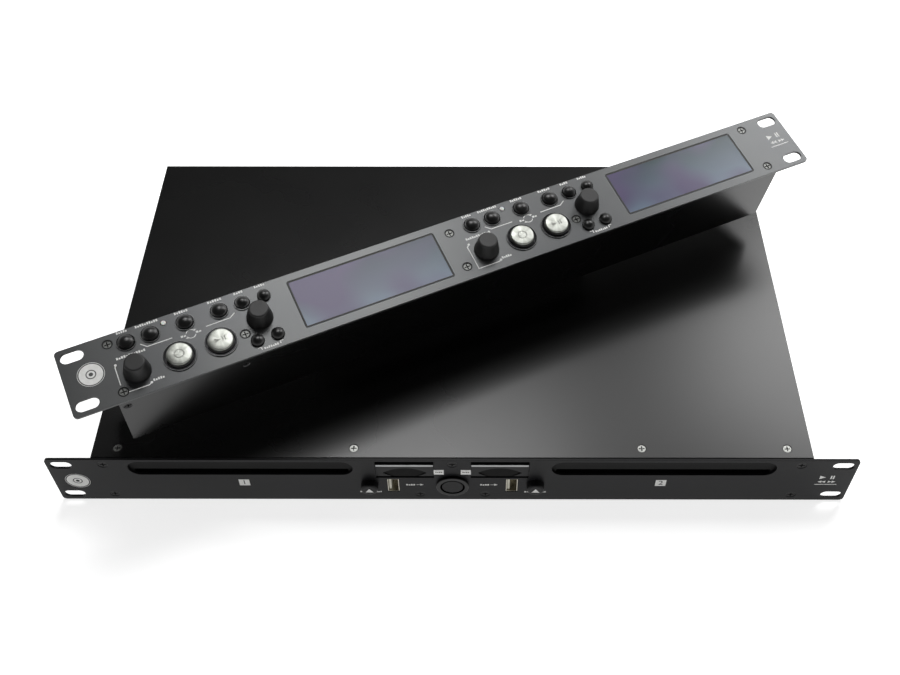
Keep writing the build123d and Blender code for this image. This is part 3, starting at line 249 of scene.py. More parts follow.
# Soft-touch rubber on the knobs: dull, with a faint powdery lift at the rim
knob_rubber = grained("soft_touch_rubber", "#070707", "#0b0b0b", 10, 0.35, 0.015, (0.42, 0.52),
                      edge=0.5)
# Dark chrome of the trim rings, and a brighter chrome line round their rims that is a painted highlight
ring_chrome = brushed("dark_chrome_plate", "#1a1a1b", "#242425", 0.3, 3, 0.002, (0.2, 0.28))
rim_highlight_chrome = brushed("chrome_rim_painted_highlight", "#5b5c5c", "#7b7c7c", 0.2, 2, 0.001, (0.3, 0.4))
# Lathe-turned aluminium of the cue and play caps: pale silver with soft wedges of painted highlight
cap_aluminium = spun("lathe_turned_aluminium_painted_sheen", "#979993", "#b4b6b0", 0.25, 0.003, (0.36, 0.46),
                     Anisotropic=0.3)
# A satin silver strip along the top edge of each card door: a painted highlight where the edge catches the lamps
door_edge_highlight = brushed("satin_silver_painted_edge_highlight", "#8b8c8c", "#a5a6a6", 0.3, 6, 0.001, (0.3, 0.4))
# Smoked acrylic windows over a grey filter, with a painted reflection: teal at the top, lighter lilac below and in
# the clouds
WINDOW_X = -59.7
WINDOW_Z = 0.5
WINDOW_WIDTH = 93.7
WINDOW_HEIGHT = 33.0
WINDOW_RECESS = 0.1
window_middle = (CONTROL @ Vector((0, 0, WINDOW_Z))).dot(PANEL_UP)
window_acrylic = faded_acrylic("smoked_acrylic_painted_lilac_sheen", "#37464c", "#6f7d8f", "#5d5573",
                               WINDOW_HEIGHT, window_middle, 45, (0.16, 0.22),
                               **{"Specular IOR Level": 0.2})
# Coated acrylic of the lens over the laser: nearly black, with a cold gloss
lens_acrylic = grained("blue_coated_lens", "#14151d", "#181a22", 3, 1, 0.001, (0.06, 0.09),
                       IOR=1.6)
# Nickel-plated shells of the data and link sockets: warm silver
nickel_shell = brushed("nickel_plated_shell", "#b9b4a6", "#d8d4c8", 0.4, 3, 0.002, (0.2, 0.3))
# Off-white nylon of the socket's tongue and of the moulded insulators
white_nylon = grained("off_white_nylon", "#d8d5c4", "#e6e3d4", 6, 0.5, 0.006, (0.4, 0.5))
# Red nylon of the right-hand signal sockets
red_nylon = grained("red_nylon", "#a01c16", "#b3241c", 6, 0.5, 0.006, (0.4, 0.5))
# Clear epoxy lamp over a pale chip: milky white when it's off
lamp_epoxy = grained("milky_epoxy_lamp", "#d9dad6", "#eeeeea", 2, 0.5, 0.002, (0.12, 0.2),
                     **{"Subsurface Weight": 0.2, "Subsurface Scale": MM})
# Screen-printed white ink: flat and a touch rough, thin at its edges
white_ink = grained("white_screen_ink", "#e9e9e6", "#f4f4f2", 3, 0.3, 0.004, (0.5, 0.6))
# Screen-printed grey and black ink, on the caps and on the white labels
grey_ink = grained("grey_screen_ink", "#8d8e88", "#9b9c95", 3, 0.3, 0.004, (0.45, 0.55))
black_ink = grained("black_screen_ink", "#141414", "#1c1c1c", 3, 0.3, 0.004, (0.45, 0.55))
# Satin-lacquered ABS of the card doors, matched to the panel
door_abs = grained("satin_lacquered_abs", "#111112", "#161617", 25, 0.5, 0.006, (0.32, 0.4),
                   **{"Specular IOR Level": 0.14})
# Black of the scoops and slot inserts, painted deeper than the ABS as shade where little light comes back
recess_abs_painted_shade = grained("matt_black_abs_painted_recess_shade", "#020202", "#050505", 12, 0.4, 0.01, (0.5, 0.6),
                     **{"Specular IOR Level": 0.1})
# Green solder mask over glass fibre: glossy, with the weave just showing
solder_mask = grained("green_solder_mask", "#0c3a22", "#12502f", 5, 0.8, 0.02, (0.3, 0.45))
# Moulded epoxy of the parts that stand on the boards: flat near-black
chip_epoxy = grained("moulded_chip_epoxy", "#111112", "#1a1a1b", 6, 0.4, 0.02, (0.5, 0.65))
# Nitrile rubber of the feed rollers: matt, a little grey from wear
roller_rubber = grained("nitrile_rubber", "#171717", "#262625", 12, 0.6, 0.03, (0.7, 0.85))
# Ground steel of shafts and rods
shaft_steel = brushed("ground_steel", "#a8a9aa", "#c6c7c8", 0.2, 1.5, 0.001, (0.16, 0.24))


# Dressing the frame's own pieces

def finish(node, material):
    """Gives a node of the frame one finish."""
    piece = nodes[node]
    if not piece.material_slots:
        piece.data.materials.append(None)
    for slot in piece.material_slots:
        slot.material = material


def refinish(node, body, finishes, choose, place):
    """Stands a copy in for a node, with a finish for each face by choose(centre, normal) in mm."""
    mesh = nodes[node].data.copy()
    mesh.name = f"{node}_dressed"
    mesh.materials.clear()
    for material in finishes:
        mesh.materials.append(material)
    to_mm = place.inverted()
    turn = to_mm.to_3x3().normalized()
    for face in mesh.polygons:
        face.material_index = choose(to_mm @ face.center, turn @ face.normal)
    piece = bpy.data.objects.new(f"{node}_dressed", mesh)
    bpy.context.scene.collection.objects.link(piece)
    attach(piece, body)
    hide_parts(node)
    return piece


# Building new pieces

def new_piece(name, builder, place, body, *materials, sharp=35):
    """Makes an object of a bmesh drawn in mm, puts it in its place and lets it ride."""
    mesh = bpy.data.meshes.new(name)
    bmesh.ops.remove_doubles(builder, verts=builder.verts, dist=1e-5)
    bmesh.ops.recalc_face_normals(builder, faces=builder.faces)
    builder.to_mesh(mesh)
    builder.free()
    mesh.transform(Matrix.Scale(MM, 4))
    mesh.polygons.foreach_set("use_smooth", [True] * len(mesh.polygons))
    mesh.set_sharp_from_angle(angle=math.radians(sharp))
    for material in materials:
        mesh.materials.append(material)
    piece = bpy.data.objects.new(name, mesh)
    bpy.context.scene.collection.objects.link(piece)
    piece.matrix_world = place @ Matrix.Scale(1 / MM, 4)
    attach(piece, body)
    return piece


def facing(panel, x, z, y=0.0):
    """A frame at a place on a panel, with its own z out of the panel and its y up the panel."""
    return panel @ Matrix.Translation((x, y, z)) @ Matrix.Rotation(math.pi / 2, 4, "X")


def turn_profile(builder, profile, index=0, segments=64):
    """Turns (radius, height) points about z into the builder; both ends may be on the axis."""
    rings = []
    for radius, height in profile:
        if radius < 1e-6:
            rings.append([builder.verts.new((0, 0, height))])
            continue
        angles = [2 * math.pi * step / segments for step in range(segments)]
        rings.append([builder.verts.new((radius * math.cos(a), radius * math.sin(a), height))
                      for a in angles])
    for low, high in zip(rings, rings[1:]):
        for step in range(segments):
            after = (step + 1) % segments
            corners = [low[step % len(low)], low[after % len(low)],
                       high[after % len(high)], high[step % len(high)]]
            distinct = list(dict.fromkeys(corners))
            face = builder.faces.new(distinct)
            face.material_index = index


def plates(polygons, front, back):
    """Flat marks as closed plates between two depths; polygons in (x, y) that share corners."""
    builder = bmesh.new()
    corners = {}
    edges = {}

    def corner(point, height):
        key = (round(point[0], 4), round(point[1], 4), height)
        if key not in corners:
            corners[key] = builder.verts.new((point[0], point[1], height))
        return corners[key]

    for polygon in polygons:
        builder.faces.new([corner(point, front) for point in polygon])
        builder.faces.new([corner(point, back) for point in reversed(polygon)])
        for start, end in zip(polygon, polygon[1:] + polygon[:1]):
            key = frozenset((round(p[0], 4), round(p[1], 4)) for p in (start, end))
            edges[key] = None if key in edges else (start, end)
    for edge in filter(None, edges.values()):
        start, end = edge
        builder.faces.new([corner(start, back), corner(end, back),
                           corner(end, front), corner(start, front)])
    return builder


# Flat shapes for printed marks, as lists of polygons round (0, 0) or at given places

def circle(x, y, radius, count=40):
    """Points round a circle, anticlockwise."""
    return [(x + radius * math.cos(2 * math.pi * step / count),
             y + radius * math.sin(2 * math.pi * step / count)) for step in range(count)]


def dot(x, y, radius):
    """A filled round mark."""
    return [circle(x, y, radius, 20)]


def annulus(x, y, outer, inner, first=0.0, last=360.0):
    """A ring, or an arc of one between two angles."""
    count = max(3, int(abs(last - first) / 8))
    closed = abs(last - first) >= 360
    spots = [math.radians(first + (last - first) * step / count) for step in range(count + 1)]
    if closed:
        spots[-1] = spots[0]
    ring = []
    for a, b in zip(spots, spots[1:]):
        ring.append([(x + inner * math.cos(a), y + inner * math.sin(a)),
                     (x + outer * math.cos(a), y + outer * math.sin(a)),
                     (x + outer * math.cos(b), y + outer * math.sin(b)),
                     (x + inner * math.cos(b), y + inner * math.sin(b))])
    return ring


def bar(x, y, width, height):
    """An upright rectangle by its middle."""
    half, rise = width / 2, height / 2
    return [[(x - half, y - rise), (x + half, y - rise),
             (x + half, y + rise), (x - half, y + rise)]]


def arrow(x, y, size, direction):
    """A solid triangle that points left (-1) or right (1)."""
    tip = x + direction * size / 2
    foot = x - direction * size / 2
    points = [(foot, y - size / 2), (tip, y), (foot, y + size / 2)]
    return [points if direction > 0 else points[::-1]]


def stroke(points, width):
    """A line of one width along points, mitred at its corners."""
    half = width / 2
    lefts, rights = [], []
    for index, point in enumerate(points):
        here = Vector(point)
        before = Vector(points[max(index - 1, 0)])
        after = Vector(points[min(index + 1, len(points) - 1)])
        along = [v.normalized() for v in (here - before, after - here) if v.length > 0]
        middle = sum(along, Vector((0, 0))).normalized()
        normal = Vector((-middle.y, middle.x))
        reach = half / max(0.3, normal.dot(Vector((-along[0].y, along[0].x))))
        lefts.append(tuple(here + normal * reach))
        rights.append(tuple(here - normal * reach))
    return [[rights[i], rights[i + 1], lefts[i + 1], lefts[i]] for i in range(len(points) - 1)]


def label(x, y, width, height=1.7, tick=1.0, gap=0.34):
    """A row of small plain blocks, where a control's name would be."""
    count = max(1, round((width + gap) / (tick + gap)))
    pitch = (width + gap) / count
    first = x - width / 2
    marks = []
    for index in range(count):
        short = height * (0.72 if index % 3 == 1 else 1.0)
        marks += bar(first + pitch * index + (pitch - gap) / 2, y - (height - short) / 2,
                     pitch - gap, short)
    return marks


MARK_SHARP = 30                # degrees over which a mark's edge stays sharp
INK_THICKNESS = 0.05
INK_ROOT = -0.03               # inks reach this far into what they are printed on
FIGURE_SHARE = 0.7             # a figure's height, as a share of the font's size


def printed(name, marks, panel, body, ink, y=0.0, thickness=INK_THICKNESS):
    """Prints marks on a face of a panel, y mm behind the panel's face."""
    builder = plates(marks, thickness, INK_ROOT)
    return new_piece(name, builder, facing(panel, 0, 0, y), body, ink, sharp=MARK_SHARP)


def digit(name, text, x, z, height, panel, body, ink, lift):
    """A plain figure in Blender's own font, as a thin plate that stands lift mm proud."""
    curve = bpy.data.curves.new(name, "FONT")
    curve.body = text
    curve.size = height / FIGURE_SHARE * MM
    curve.align_x = "CENTER"
    curve.align_y = "CENTER"
    curve.extrude = INK_THICKNESS / 2 * MM
    holder = bpy.data.objects.new(name + "_text", curve)
    bpy.context.scene.collection.objects.link(holder)
    bpy.context.view_layer.update()
    mesh = bpy.data.meshes.new_from_object(holder)
    bpy.data.objects.remove(holder)
    builder = bmesh.new()
    builder.from_mesh(mesh)
    bpy.data.meshes.remove(mesh)
    bmesh.ops.scale(builder, vec=(1 / MM, 1 / MM, 1 / MM), verts=builder.verts)
    return new_piece(name, builder, facing(panel, x, z, -lift), body, ink, sharp=MARK_SHARP)


# The camera: a pinhole fitted to the panels' corners and slots in the photograph

PHOTO_WIDTH = 900
PHOTO_HEIGHT = 675
PRINCIPAL_POINT = (471.4, 319.5)
CAMERA_AZIMUTH = 0.1
CAMERA_ELEVATION = 49.915
CAMERA_DISTANCE = 778.17
CAMERA_TARGET = (11.20, 17.13, 0.0)
CAMERA_LENS = 44.16
SENSOR_WIDTH = 36.0


def stand_camera():
    """Puts the camera where the photograph was taken from."""
    data = bpy.data.cameras.new("camera")
    data.lens = CAMERA_LENS
    data.sensor_width = SENSOR_WIDTH
    data.shift_x = -(PRINCIPAL_POINT[0] - PHOTO_WIDTH / 2) / PHOTO_WIDTH
    data.shift_y = (PRINCIPAL_POINT[1] - PHOTO_HEIGHT / 2) / PHOTO_WIDTH
    data.clip_start = 0.01
    data.clip_end = 50.0
    camera = bpy.data.objects.new("camera", data)
    bpy.context.scene.collection.objects.link(camera)
    rise = math.radians(CAMERA_ELEVATION)
    swing = math.radians(CAMERA_AZIMUTH)
    back = Vector((math.sin(swing) * math.cos(rise), -math.cos(swing) * math.cos(rise),
                   math.sin(rise)))
    target = Vector(CAMERA_TARGET) * MM
    camera.location = target + back * CAMERA_DISTANCE * MM
    camera.rotation_euler = (-back).to_track_quat("-Z", "Y").to_euler()
    bpy.context.scene.camera = camera


# The room: a white floor, a pale horizon that dims overhead, and three soft boxes

FLOOR_SIZE = 14.0
FLOOR_GAP = 0.0002
FLOOR_GLOW = 0.72              # lifts the paper to white in the picture and in reflections only
WORLD_HORIZON = 1.0
WORLD_OVERHEAD = 0.02
WORLD_FADE = (0.34, 0.56)      # heights of direction between which the world dims
LAMP_DISTANCE = 1.3
LAMPS = (
    # name, direction from the player, size in metres, power in watts
    ("soft_box_over_left", (-0.05, 0.36, 0.93), 0.48, 6.0),
    ("soft_box_over_middle", (0.24, 0.53, 0.81), 0.36, 0.4),
    ("soft_box_over_right", (0.49, 0.52, 0.70), 0.44, 5.0),
)


def light_room():
    """Floor, world and lamps."""
    floor_paper = bpy.data.materials.new("white_floor_paper")
    floor_paper.use_nodes = True
    floor_paper.node_tree.nodes.clear()
    place = add_node(floor_paper, "ShaderNodeTexCoord")
    fibres = add_node(floor_paper, "ShaderNodeTexNoise", {"Scale": per_mm(40), "Detail": 2.0},
                      {"Vector": (place, "Object")})
    shades = add_node(floor_paper, "ShaderNodeValToRGB", links={"Fac": (fibres, "Fac")})
    shades.color_ramp.elements[0].color = linear("#fcfcfc")
    shades.color_ramp.elements[1].color = linear("#ffffff")
    paper = add_node(floor_paper, "ShaderNodeBsdfDiffuse", links={"Color": (shades, "Color")})
    ray = add_node(floor_paper, "ShaderNodeLightPath")
    mirrored = add_node(floor_paper, "ShaderNodeMath",
                        links={0: (ray, "Is Glossy Ray"), 1: (ray, "Is Transmission Ray")},
                        operation="MAXIMUM")
    seen = add_node(floor_paper, "ShaderNodeMath",
                    links={0: (ray, "Is Camera Ray"), 1: (mirrored, "Value")}, operation="MAXIMUM")
    lift = add_node(floor_paper, "ShaderNodeMath", {1: FLOOR_GLOW}, {0: (seen, "Value")},
                    operation="MULTIPLY")
    glow = add_node(floor_paper, "ShaderNodeEmission",
                    links={"Color": (shades, "Color"), "Strength": (lift, "Value")})
    both = add_node(floor_paper, "ShaderNodeAddShader",
                    links={0: (paper, "BSDF"), 1: (glow, "Emission")})
    add_node(floor_paper, "ShaderNodeOutputMaterial", links={"Surface": (both, "Shader")})
    builder = bmesh.new()
    bmesh.ops.create_grid(builder, x_segments=1, y_segments=1, size=FLOOR_SIZE / 2)
    mesh = bpy.data.meshes.new("floor")
    builder.to_mesh(mesh)
    builder.free()
    mesh.materials.append(floor_paper)
    floor = bpy.data.objects.new("floor", mesh)
    bpy.context.scene.collection.objects.link(floor)
    floor.location.z = -FLOOR_GAP

    world = bpy.data.worlds.new("room")
    bpy.context.scene.world = world
    world.use_nodes = True
    world.node_tree.nodes.clear()
    aim = add_node(world, "ShaderNodeTexCoord")
    split = add_node(world, "ShaderNodeSeparateXYZ", links={"Vector": (aim, "Generated")})
    fade = add_node(world, "ShaderNodeMapRange",
                    {"From Min": WORLD_FADE[0], "From Max": WORLD_FADE[1],
                     "To Min": WORLD_HORIZON, "To Max": WORLD_OVERHEAD},
                    {"Value": (split, "Z")}, interpolation_type="SMOOTHSTEP")
    sky = add_node(world, "ShaderNodeBackground", {"Color": (1, 1, 1, 1)},
                   {"Strength": (fade, "Result")})
    add_node(world, "ShaderNodeOutputWorld", links={"Surface": (sky, "Background")})

    for name, direction, size, power in LAMPS:
        data = bpy.data.lights.new(name, "AREA")
        data.shape = "SQUARE"
        data.size = size
        data.energy = power
        lamp = bpy.data.objects.new(name, data)
        bpy.context.scene.collection.objects.link(lamp)
        toward = Vector(direction).normalized()
        lamp.location = toward * LAMP_DISTANCE
        lamp.rotation_euler = (-toward).to_track_quat("-Z", "Y").to_euler()


stand_camera()
light_room()


# The player

SLACK = 0.05                   # a face on a limit counts as within it
COVER_TOP = 43.4
COVER_HALF_WIDTH = 214.0
CASE_DEPTH = 257.0
SCREW_SINK = 0.3               # the heads lie this far below the sheet
POWER_RING_REACH = 12.0
CARD_X = 28.5
CARD_OPENING_WIDTH = 34.9
CARD_SILL = 24.4
LIP_HEIGHT = 0.6               # of the painted lip over the gap under each door
LIP_MIDDLE = CARD_SILL + LIP_HEIGHT / 4
LIP_THICKNESS = 0.03
DOOR_FRONT = 0.1
DOOR_TOP = 38.7
DOOR_WIDTH = 34.1
DOOR_HIGHLIGHT_HEIGHT = 1.7
SCOOP_HALF_WIDTH = 13.3
SCOOP_HALF_HEIGHT = 5.2
SCOOP_Z = 30.1
SCOOP_DEPTH = 1.6
USB_X = 36.0
USB_Z = 16.1
USB_TONGUE = (-2.7, -1.1)      # the tongue's sides, from the middle of its socket
USB_TONGUE_HALF_HEIGHT = 6.2
USB_TONGUE_FRONT = 1.2


def cover_screw_face(centre, normal):
    """Zinc on the heads in the cover's top and sides, black on the panel's screws, and black painted shade in the
    crosses.
    """
    from_top = COVER_TOP - centre.z
    from_side = COVER_HALF_WIDTH - abs(centre.x)
    top_head = abs(normal.z) > 0.9 and from_top < SCREW_SINK + SLACK
    side_head = abs(normal.x) > 0.9 and from_side < SCREW_SINK + SLACK
    return int(not (top_head or side_head))


def door_face(centre, normal):
    """The scoop behind the door's front face is painted darker than the face, as shade."""
    beside = abs(abs(centre.x) - CARD_X) < SCOOP_HALF_WIDTH
    level = abs(centre.z - SCOOP_Z) < SCOOP_HALF_HEIGHT
    return int(beside and level and DOOR_FRONT + SLACK < centre.y < DOOR_FRONT + SCOOP_DEPTH)


def usb_face(centre, normal):
    """The tongue of a data socket is nylon, the shell is nickel."""
    side = 1 if centre.x > 0 else -1
    across = centre.x - side * USB_X
    beside = USB_TONGUE[0] < across < USB_TONGUE[1]
    level = abs(centre.z - USB_Z) < USB_TONGUE_HALF_HEIGHT
    return int(beside and level and centre.y > USB_TONGUE_FRONT)


def dress_player():
    """Finishes of the player's own nodes."""
    finish("player_front_panel", panel_paint)
    finish("player_chassis", zinc_sheet)
    finish("player_top_cover", cover_paint)
    finish("power_button", door_abs)
    finish("card_readers", black_abs)
    for number, side in SIDES:
        finish(f"eject_button_{number}", door_abs)
        lip = bar(side * CARD_X, LIP_MIDDLE, CARD_OPENING_WIDTH, LIP_HEIGHT)
        printed(f"card_sill_lip_{number}", lip, PLAYER, "player", panel_paint,
                thickness=LIP_THICKNESS)
        door = f"card_door_{number}"
        refinish(door, door, (door_abs, recess_abs_painted_shade), door_face, PLAYER)
        # a silver strip along each door's top edge is a painted highlight
        highlight_strip = bar(side * CARD_X, DOOR_TOP - DOOR_HIGHLIGHT_HEIGHT / 2, DOOR_WIDTH, DOOR_HIGHLIGHT_HEIGHT)
        printed(f"card_door_edge_highlight_{number}", highlight_strip, PLAYER, door, door_edge_highlight, y=DOOR_FRONT)
    refinish("player_screws", "player", (zinc_screw, black_oxide_and_painted_shade), cover_screw_face, PLAYER)
    # the slot inserts take the deep black of painted shade, the power ring mirror-black ABS
    refinish("front_bezels", "player", (recess_abs_painted_shade, gloss_abs),
             lambda centre, normal: int(abs(centre.x) < POWER_RING_REACH), PLAYER)
    refinish("usb_sockets", "player", (nickel_shell, white_nylon), usb_face, PLAYER)


# Sockets in the player's rear wall

SOCKET_Z = 22.0
PHONO_PLACES = (-190.0, -172.0, -150.0, -132.0, -110.0, -92.0)
PHONO_REACH = 4.3
PHONO_BORE = 1.7
PHONO_END = 265.9
LINK_FACE = 4.9                # the contacts' face, from the wall
INLET_X = 150.0
BLADES = ((-7.0, -2.0), (0.0, 2.0), (7.0, -2.0))
BLADE_HALF_WIDTH = 1.05
BLADE_HALF_HEIGHT = 2.05
BLADE_ROOT = 243.05


def rear_face(centre, normal):
    """Nickel barrels with white and red ends, nickel shells, and black moulding."""
    if centre.y < CASE_DEPTH - SLACK:
        return 1
    for index, x in enumerate(PHONO_PLACES):
        radius = math.hypot(centre.x - x, centre.z - SOCKET_Z)
        if radius < PHONO_REACH:
            if radius < PHONO_BORE:
                return 1
            return 2 + index % 2 if centre.y > PHONO_END else 0
    return int(centre.y > CASE_DEPTH + LINK_FACE and normal.y > 0.9)


def inlet_face(centre, normal):
    """The inlet's blades are nickel."""
    if centre.y < BLADE_ROOT:
        return 0
    return int(any(abs(centre.x - INLET_X - x) < BLADE_HALF_WIDTH
                   and abs(centre.z - SOCKET_Z - z) < BLADE_HALF_HEIGHT for x, z in BLADES))


# Parts out of sight inside the player

BOARD_TOP = 7.6
BOARDS_FRONT = 100.0           # the main boards lie behind this depth
FRONT_BOARD = (17.9, 19.7)
TURNTABLE_LOW = 25.5
LENS_LOW = 19.05
ROLLER_AXIS = (13.5, 25.0)
ROLLER_SHAFT_REACH = 1.6


def board_face(centre, normal):
    """The laminate is green, and whatever stands on it is black."""
    if centre.y > BOARDS_FRONT:
        return int(centre.z > BOARD_TOP + SLACK)
    return int(not FRONT_BOARD[0] < centre.y < FRONT_BOARD[1])


def roller_face(centre, normal):
    """The shaft's faces are nearer its axis than the rubber is."""
    reach = math.hypot(centre.y - ROLLER_AXIS[0], centre.z - ROLLER_AXIS[1])
    return int(reach < ROLLER_SHAFT_REACH)


def dress_inside():
    """Finishes of what is inside the player and at its rear."""
    refinish("main_board", "player", (solder_mask, chip_epoxy), board_face, PLAYER)
    refinish("power_supply", "player", (solder_mask, chip_epoxy), board_face, PLAYER)
    for number in DECKS:
        finish(f"disc_drive_frame_{number}", zinc_sheet)
        refinish(f"feed_roller_{number}", f"feed_roller_{number}", (roller_rubber, shaft_steel),
                 roller_face, PLAYER)
        refinish(f"disc_spindle_{number}", f"disc_spindle_{number}", (black_abs, shaft_steel),
                 lambda centre, normal: int(centre.z < TURNTABLE_LOW), PLAYER)
        refinish(f"laser_sled_{number}", f"laser_sled_{number}", (black_abs, lens_acrylic),
                 lambda centre, normal: int(centre.z > LENS_LOW), PLAYER)
    refinish("rear_sockets", "player", (nickel_shell, black_abs, white_nylon, red_nylon),
             rear_face, PLAYER)
    refinish("power_inlet", "player", (black_abs, nickel_shell), inlet_face, PLAYER)


# The control unit

HOUSING_BACK = 66.1
HOUSING_LINK_FACE = 69.9
CONTROL_HALF_WIDTH = 218.5
CONTROL_LAMINATE = (11.95, 13.65)


def control_screw_face(centre, normal):
    """Dark nickel on the flat heads, black painted shade in their crosses, and black on the underside."""
    on_panel = normal.y < -0.9 and centre.y < SCREW_SINK + SLACK
    on_side = abs(normal.x) > 0.9 and CONTROL_HALF_WIDTH - abs(centre.x) < SCREW_SINK + SLACK
    return int(not (on_panel or on_side))


def housing_face(centre, normal):
    """Nickel plates and shells of the link sockets, on a black box."""
    contacts = centre.y > HOUSING_LINK_FACE and normal.y > 0.9
    return int(centre.y > HOUSING_BACK + SLACK and not contacts)


def dress_control_unit():
    """Finishes of the control unit's own nodes."""
    finish("controller_front_panel", control_paint)
    finish("controller_chassis", cover_paint)
    finish("controller_top_cover", cover_paint)
    refinish("link_socket_housing", "controller", (cover_paint, nickel_shell), housing_face,
             CONTROL)
    finish("display_modules", black_abs)
    finish("display_windows", window_acrylic)
    finish("button_bezels", ring_chrome)
    finish("status_leds", lamp_epoxy)
    refinish("controller_screws", "controller", (dark_nickel, black_oxide_and_painted_shade), control_screw_face,
             CONTROL)
    refinish("control_board", "controller", (solder_mask, chip_epoxy),
             lambda centre, normal: int(not CONTROL_LAMINATE[0] < centre.y < CONTROL_LAMINATE[1]),
             CONTROL)
    for deck in DECKS:
        for button in ("back", "source", "single", "repeat", "time", "pitch", "search_back",
                       "search_forward"):
            finish(f"{button}_button_{deck}", button_abs)
        for knob in ("track", "pitch"):
            finish(f"{knob}_knob_{deck}", knob_rubber)
        finish(f"track_shaft_{deck}", shaft_steel)


dress_player()
dress_inside()
dress_control_unit()


# Cue and play buttons: a black body, and a turned metal cap let into it

CUE_X = -178.05
PLAY_X = -154.15
LOWER_ROW_Z = -6.4
BIG_CAP_RADIUS = 7.2
BIG_BODY_RADIUS = 7.8
BIG_CAP_PROUD = 3.3
BIG_BODY_PROUD = 1.5
BUTTON_FOOT = (-2.5, -3.3)     # the flange that keeps it in, behind the panel
FLANGE_RADIUS = 8.9
STEM_RADIUS = 1.6
STEM_END = -6.5
CAP_GAP = 0.05                 # round the cap, in its seat
SEAT_DEPTH = 0.3
CAP_ROOT = 0.25
BODY_RIM_RISE = 0.2
BODY_CHAMFER = (0.3, 0.1)      # in from the body's side, and down from its nominal height
CAP_EDGE = ((0.75, 0.0), (0.4, 0.08), (0.12, 0.3), (0.0, 0.65))   # in from the rim, and down
CUE_RING = (2.9, 2.3)          # outer and inner radius
PLAY_SIGN_HEIGHT = 2.9
PLAY_ARROW_X = -1.9
PAUSE_BARS_X = (1.2, 2.6)
PAUSE_BAR_WIDTH = 0.7


def big_button(name, x, deck):
    """One cue or play button, with its cap."""
    middle = x + (deck - 1) * deck_pitch
    place = facing(CONTROL, middle, LOWER_ROW_Z)
    body = bmesh.new()
    seat_radius, seat = BIG_CAP_RADIUS + CAP_GAP, BIG_BODY_PROUD - SEAT_DEPTH
    rim_top = BIG_BODY_PROUD + BODY_RIM_RISE
    turn_profile(body, [
        (0, seat), (seat_radius, seat), (seat_radius, rim_top),
        (BIG_BODY_RADIUS - BODY_CHAMFER[0], rim_top),
        (BIG_BODY_RADIUS, BIG_BODY_PROUD - BODY_CHAMFER[1]), (BIG_BODY_RADIUS, BUTTON_FOOT[0]),
        (FLANGE_RADIUS, BUTTON_FOOT[0]), (FLANGE_RADIUS, BUTTON_FOOT[1]),
        (STEM_RADIUS, BUTTON_FOOT[1]), (STEM_RADIUS, STEM_END), (0, STEM_END),
    ])
    piece = new_piece(f"{name}_body_{deck}", body, place, f"{name}_button_{deck}", button_abs)
    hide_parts(f"{name}_button_{deck}")
    cap = bmesh.new()
    rim = BIG_CAP_RADIUS
    edge = [(rim - inset, BIG_CAP_PROUD - drop) for inset, drop in CAP_EDGE]
    root = BIG_BODY_PROUD - CAP_ROOT
    turn_profile(cap, [(0, BIG_CAP_PROUD), (rim * 0.5, BIG_CAP_PROUD), *edge,
                       (rim, root), (0, root)])
    new_piece(f"{name}_cap_{deck}", cap, place, f"{name}_button_{deck}", cap_aluminium, sharp=50)
    return middle


def cap_marks(deck):
    """A ring on the cue cap, and play and pause signs on the play cap."""
    cue = big_button("cue", CUE_X, deck)
    ring = annulus(cue, LOWER_ROW_Z, *CUE_RING)
    printed(f"cue_mark_{deck}", ring, CONTROL, f"cue_button_{deck}", grey_ink, y=-BIG_CAP_PROUD)
    play = big_button("play", PLAY_X, deck)
    signs = arrow(play + PLAY_ARROW_X, LOWER_ROW_Z, PLAY_SIGN_HEIGHT, 1)
    for x in PAUSE_BARS_X:
        signs += bar(play + x, LOWER_ROW_Z, PAUSE_BAR_WIDTH, PLAY_SIGN_HEIGHT)
    printed(f"play_mark_{deck}", signs, CONTROL, f"play_button_{deck}", grey_ink, y=-BIG_CAP_PROUD)


for deck in DECKS:
    cap_marks(deck)


# Printing on the control unit's panel

LINE = 0.55
TOP_LABEL_Z = 20.85
LABEL_HEIGHT = 1.5
TOP_LABELS = ((-203.3, 6.0), (-189.1, 12.9), (-169.0, 7.8), (-149.2, 8.2), (-134.9, 5.4),
              (-122.1, 6.2))   # middle and width of each label of the top row
RINGS = (                      # x, z and outer radius of each trim ring of a deck
    (-202.8, 13.3, 5.5), (-189.0, 13.3, 5.5), (-168.9, 13.3, 5.5), (-148.8, 13.3, 5.5),
    (-134.9, 13.3, 4.9), (CUE_X, LOWER_ROW_Z, 9.5), (PLAY_X, LOWER_ROW_Z, 9.5),
)
RING_PROUD = 0.7
RIM_WIDTH = 0.16
RIM_THICKNESS = 0.01
CONTROL_SCREWS = ((-212.7, 16.0), (-212.7, -16.0), (212.7, 16.0), (212.7, -16.0), (-3.1, 13.0),
                  (-3.1, -13.0), (-140.0, -6.7), (75.0, -6.7))
SCREW_HEAD_RADIUS = 3.05       # of the countersink, just under the panel's face
SCREW_SHADE = 0.75
SCREW_SHADE_DEPTH = 0.06
WINDOW_BORDER = 0.85
TURN_SIGN = (-168.0, 5.0)      # two arcs with arrows, between the cue and play buttons
TURN_SIGN_RADII = (3.0, 2.5)
TURN_ARCS = ((25, 155), (205, 335))   # in degrees
TURN_ARROW = (2.9, 1.9)        # across and up from the sign's middle
TURN_ARROW_SIZE = 1.3
DOT_RADIUS = 0.75
LINES = (                      # the lines that both decks have, point by point
    ((-195.9, 9.3), (-192.8, 6.4), (-178.4, 6.4)),
    ((-158.7, 6.4), (-144.5, 6.6), (-141.0, 8.9)),
    ((-136.6, -18.3), (-134.6, -18.3), (-134.6, -20.0)),
    ((-121.4, -18.3), (-123.4, -18.3), (-123.4, -20.0)),
)
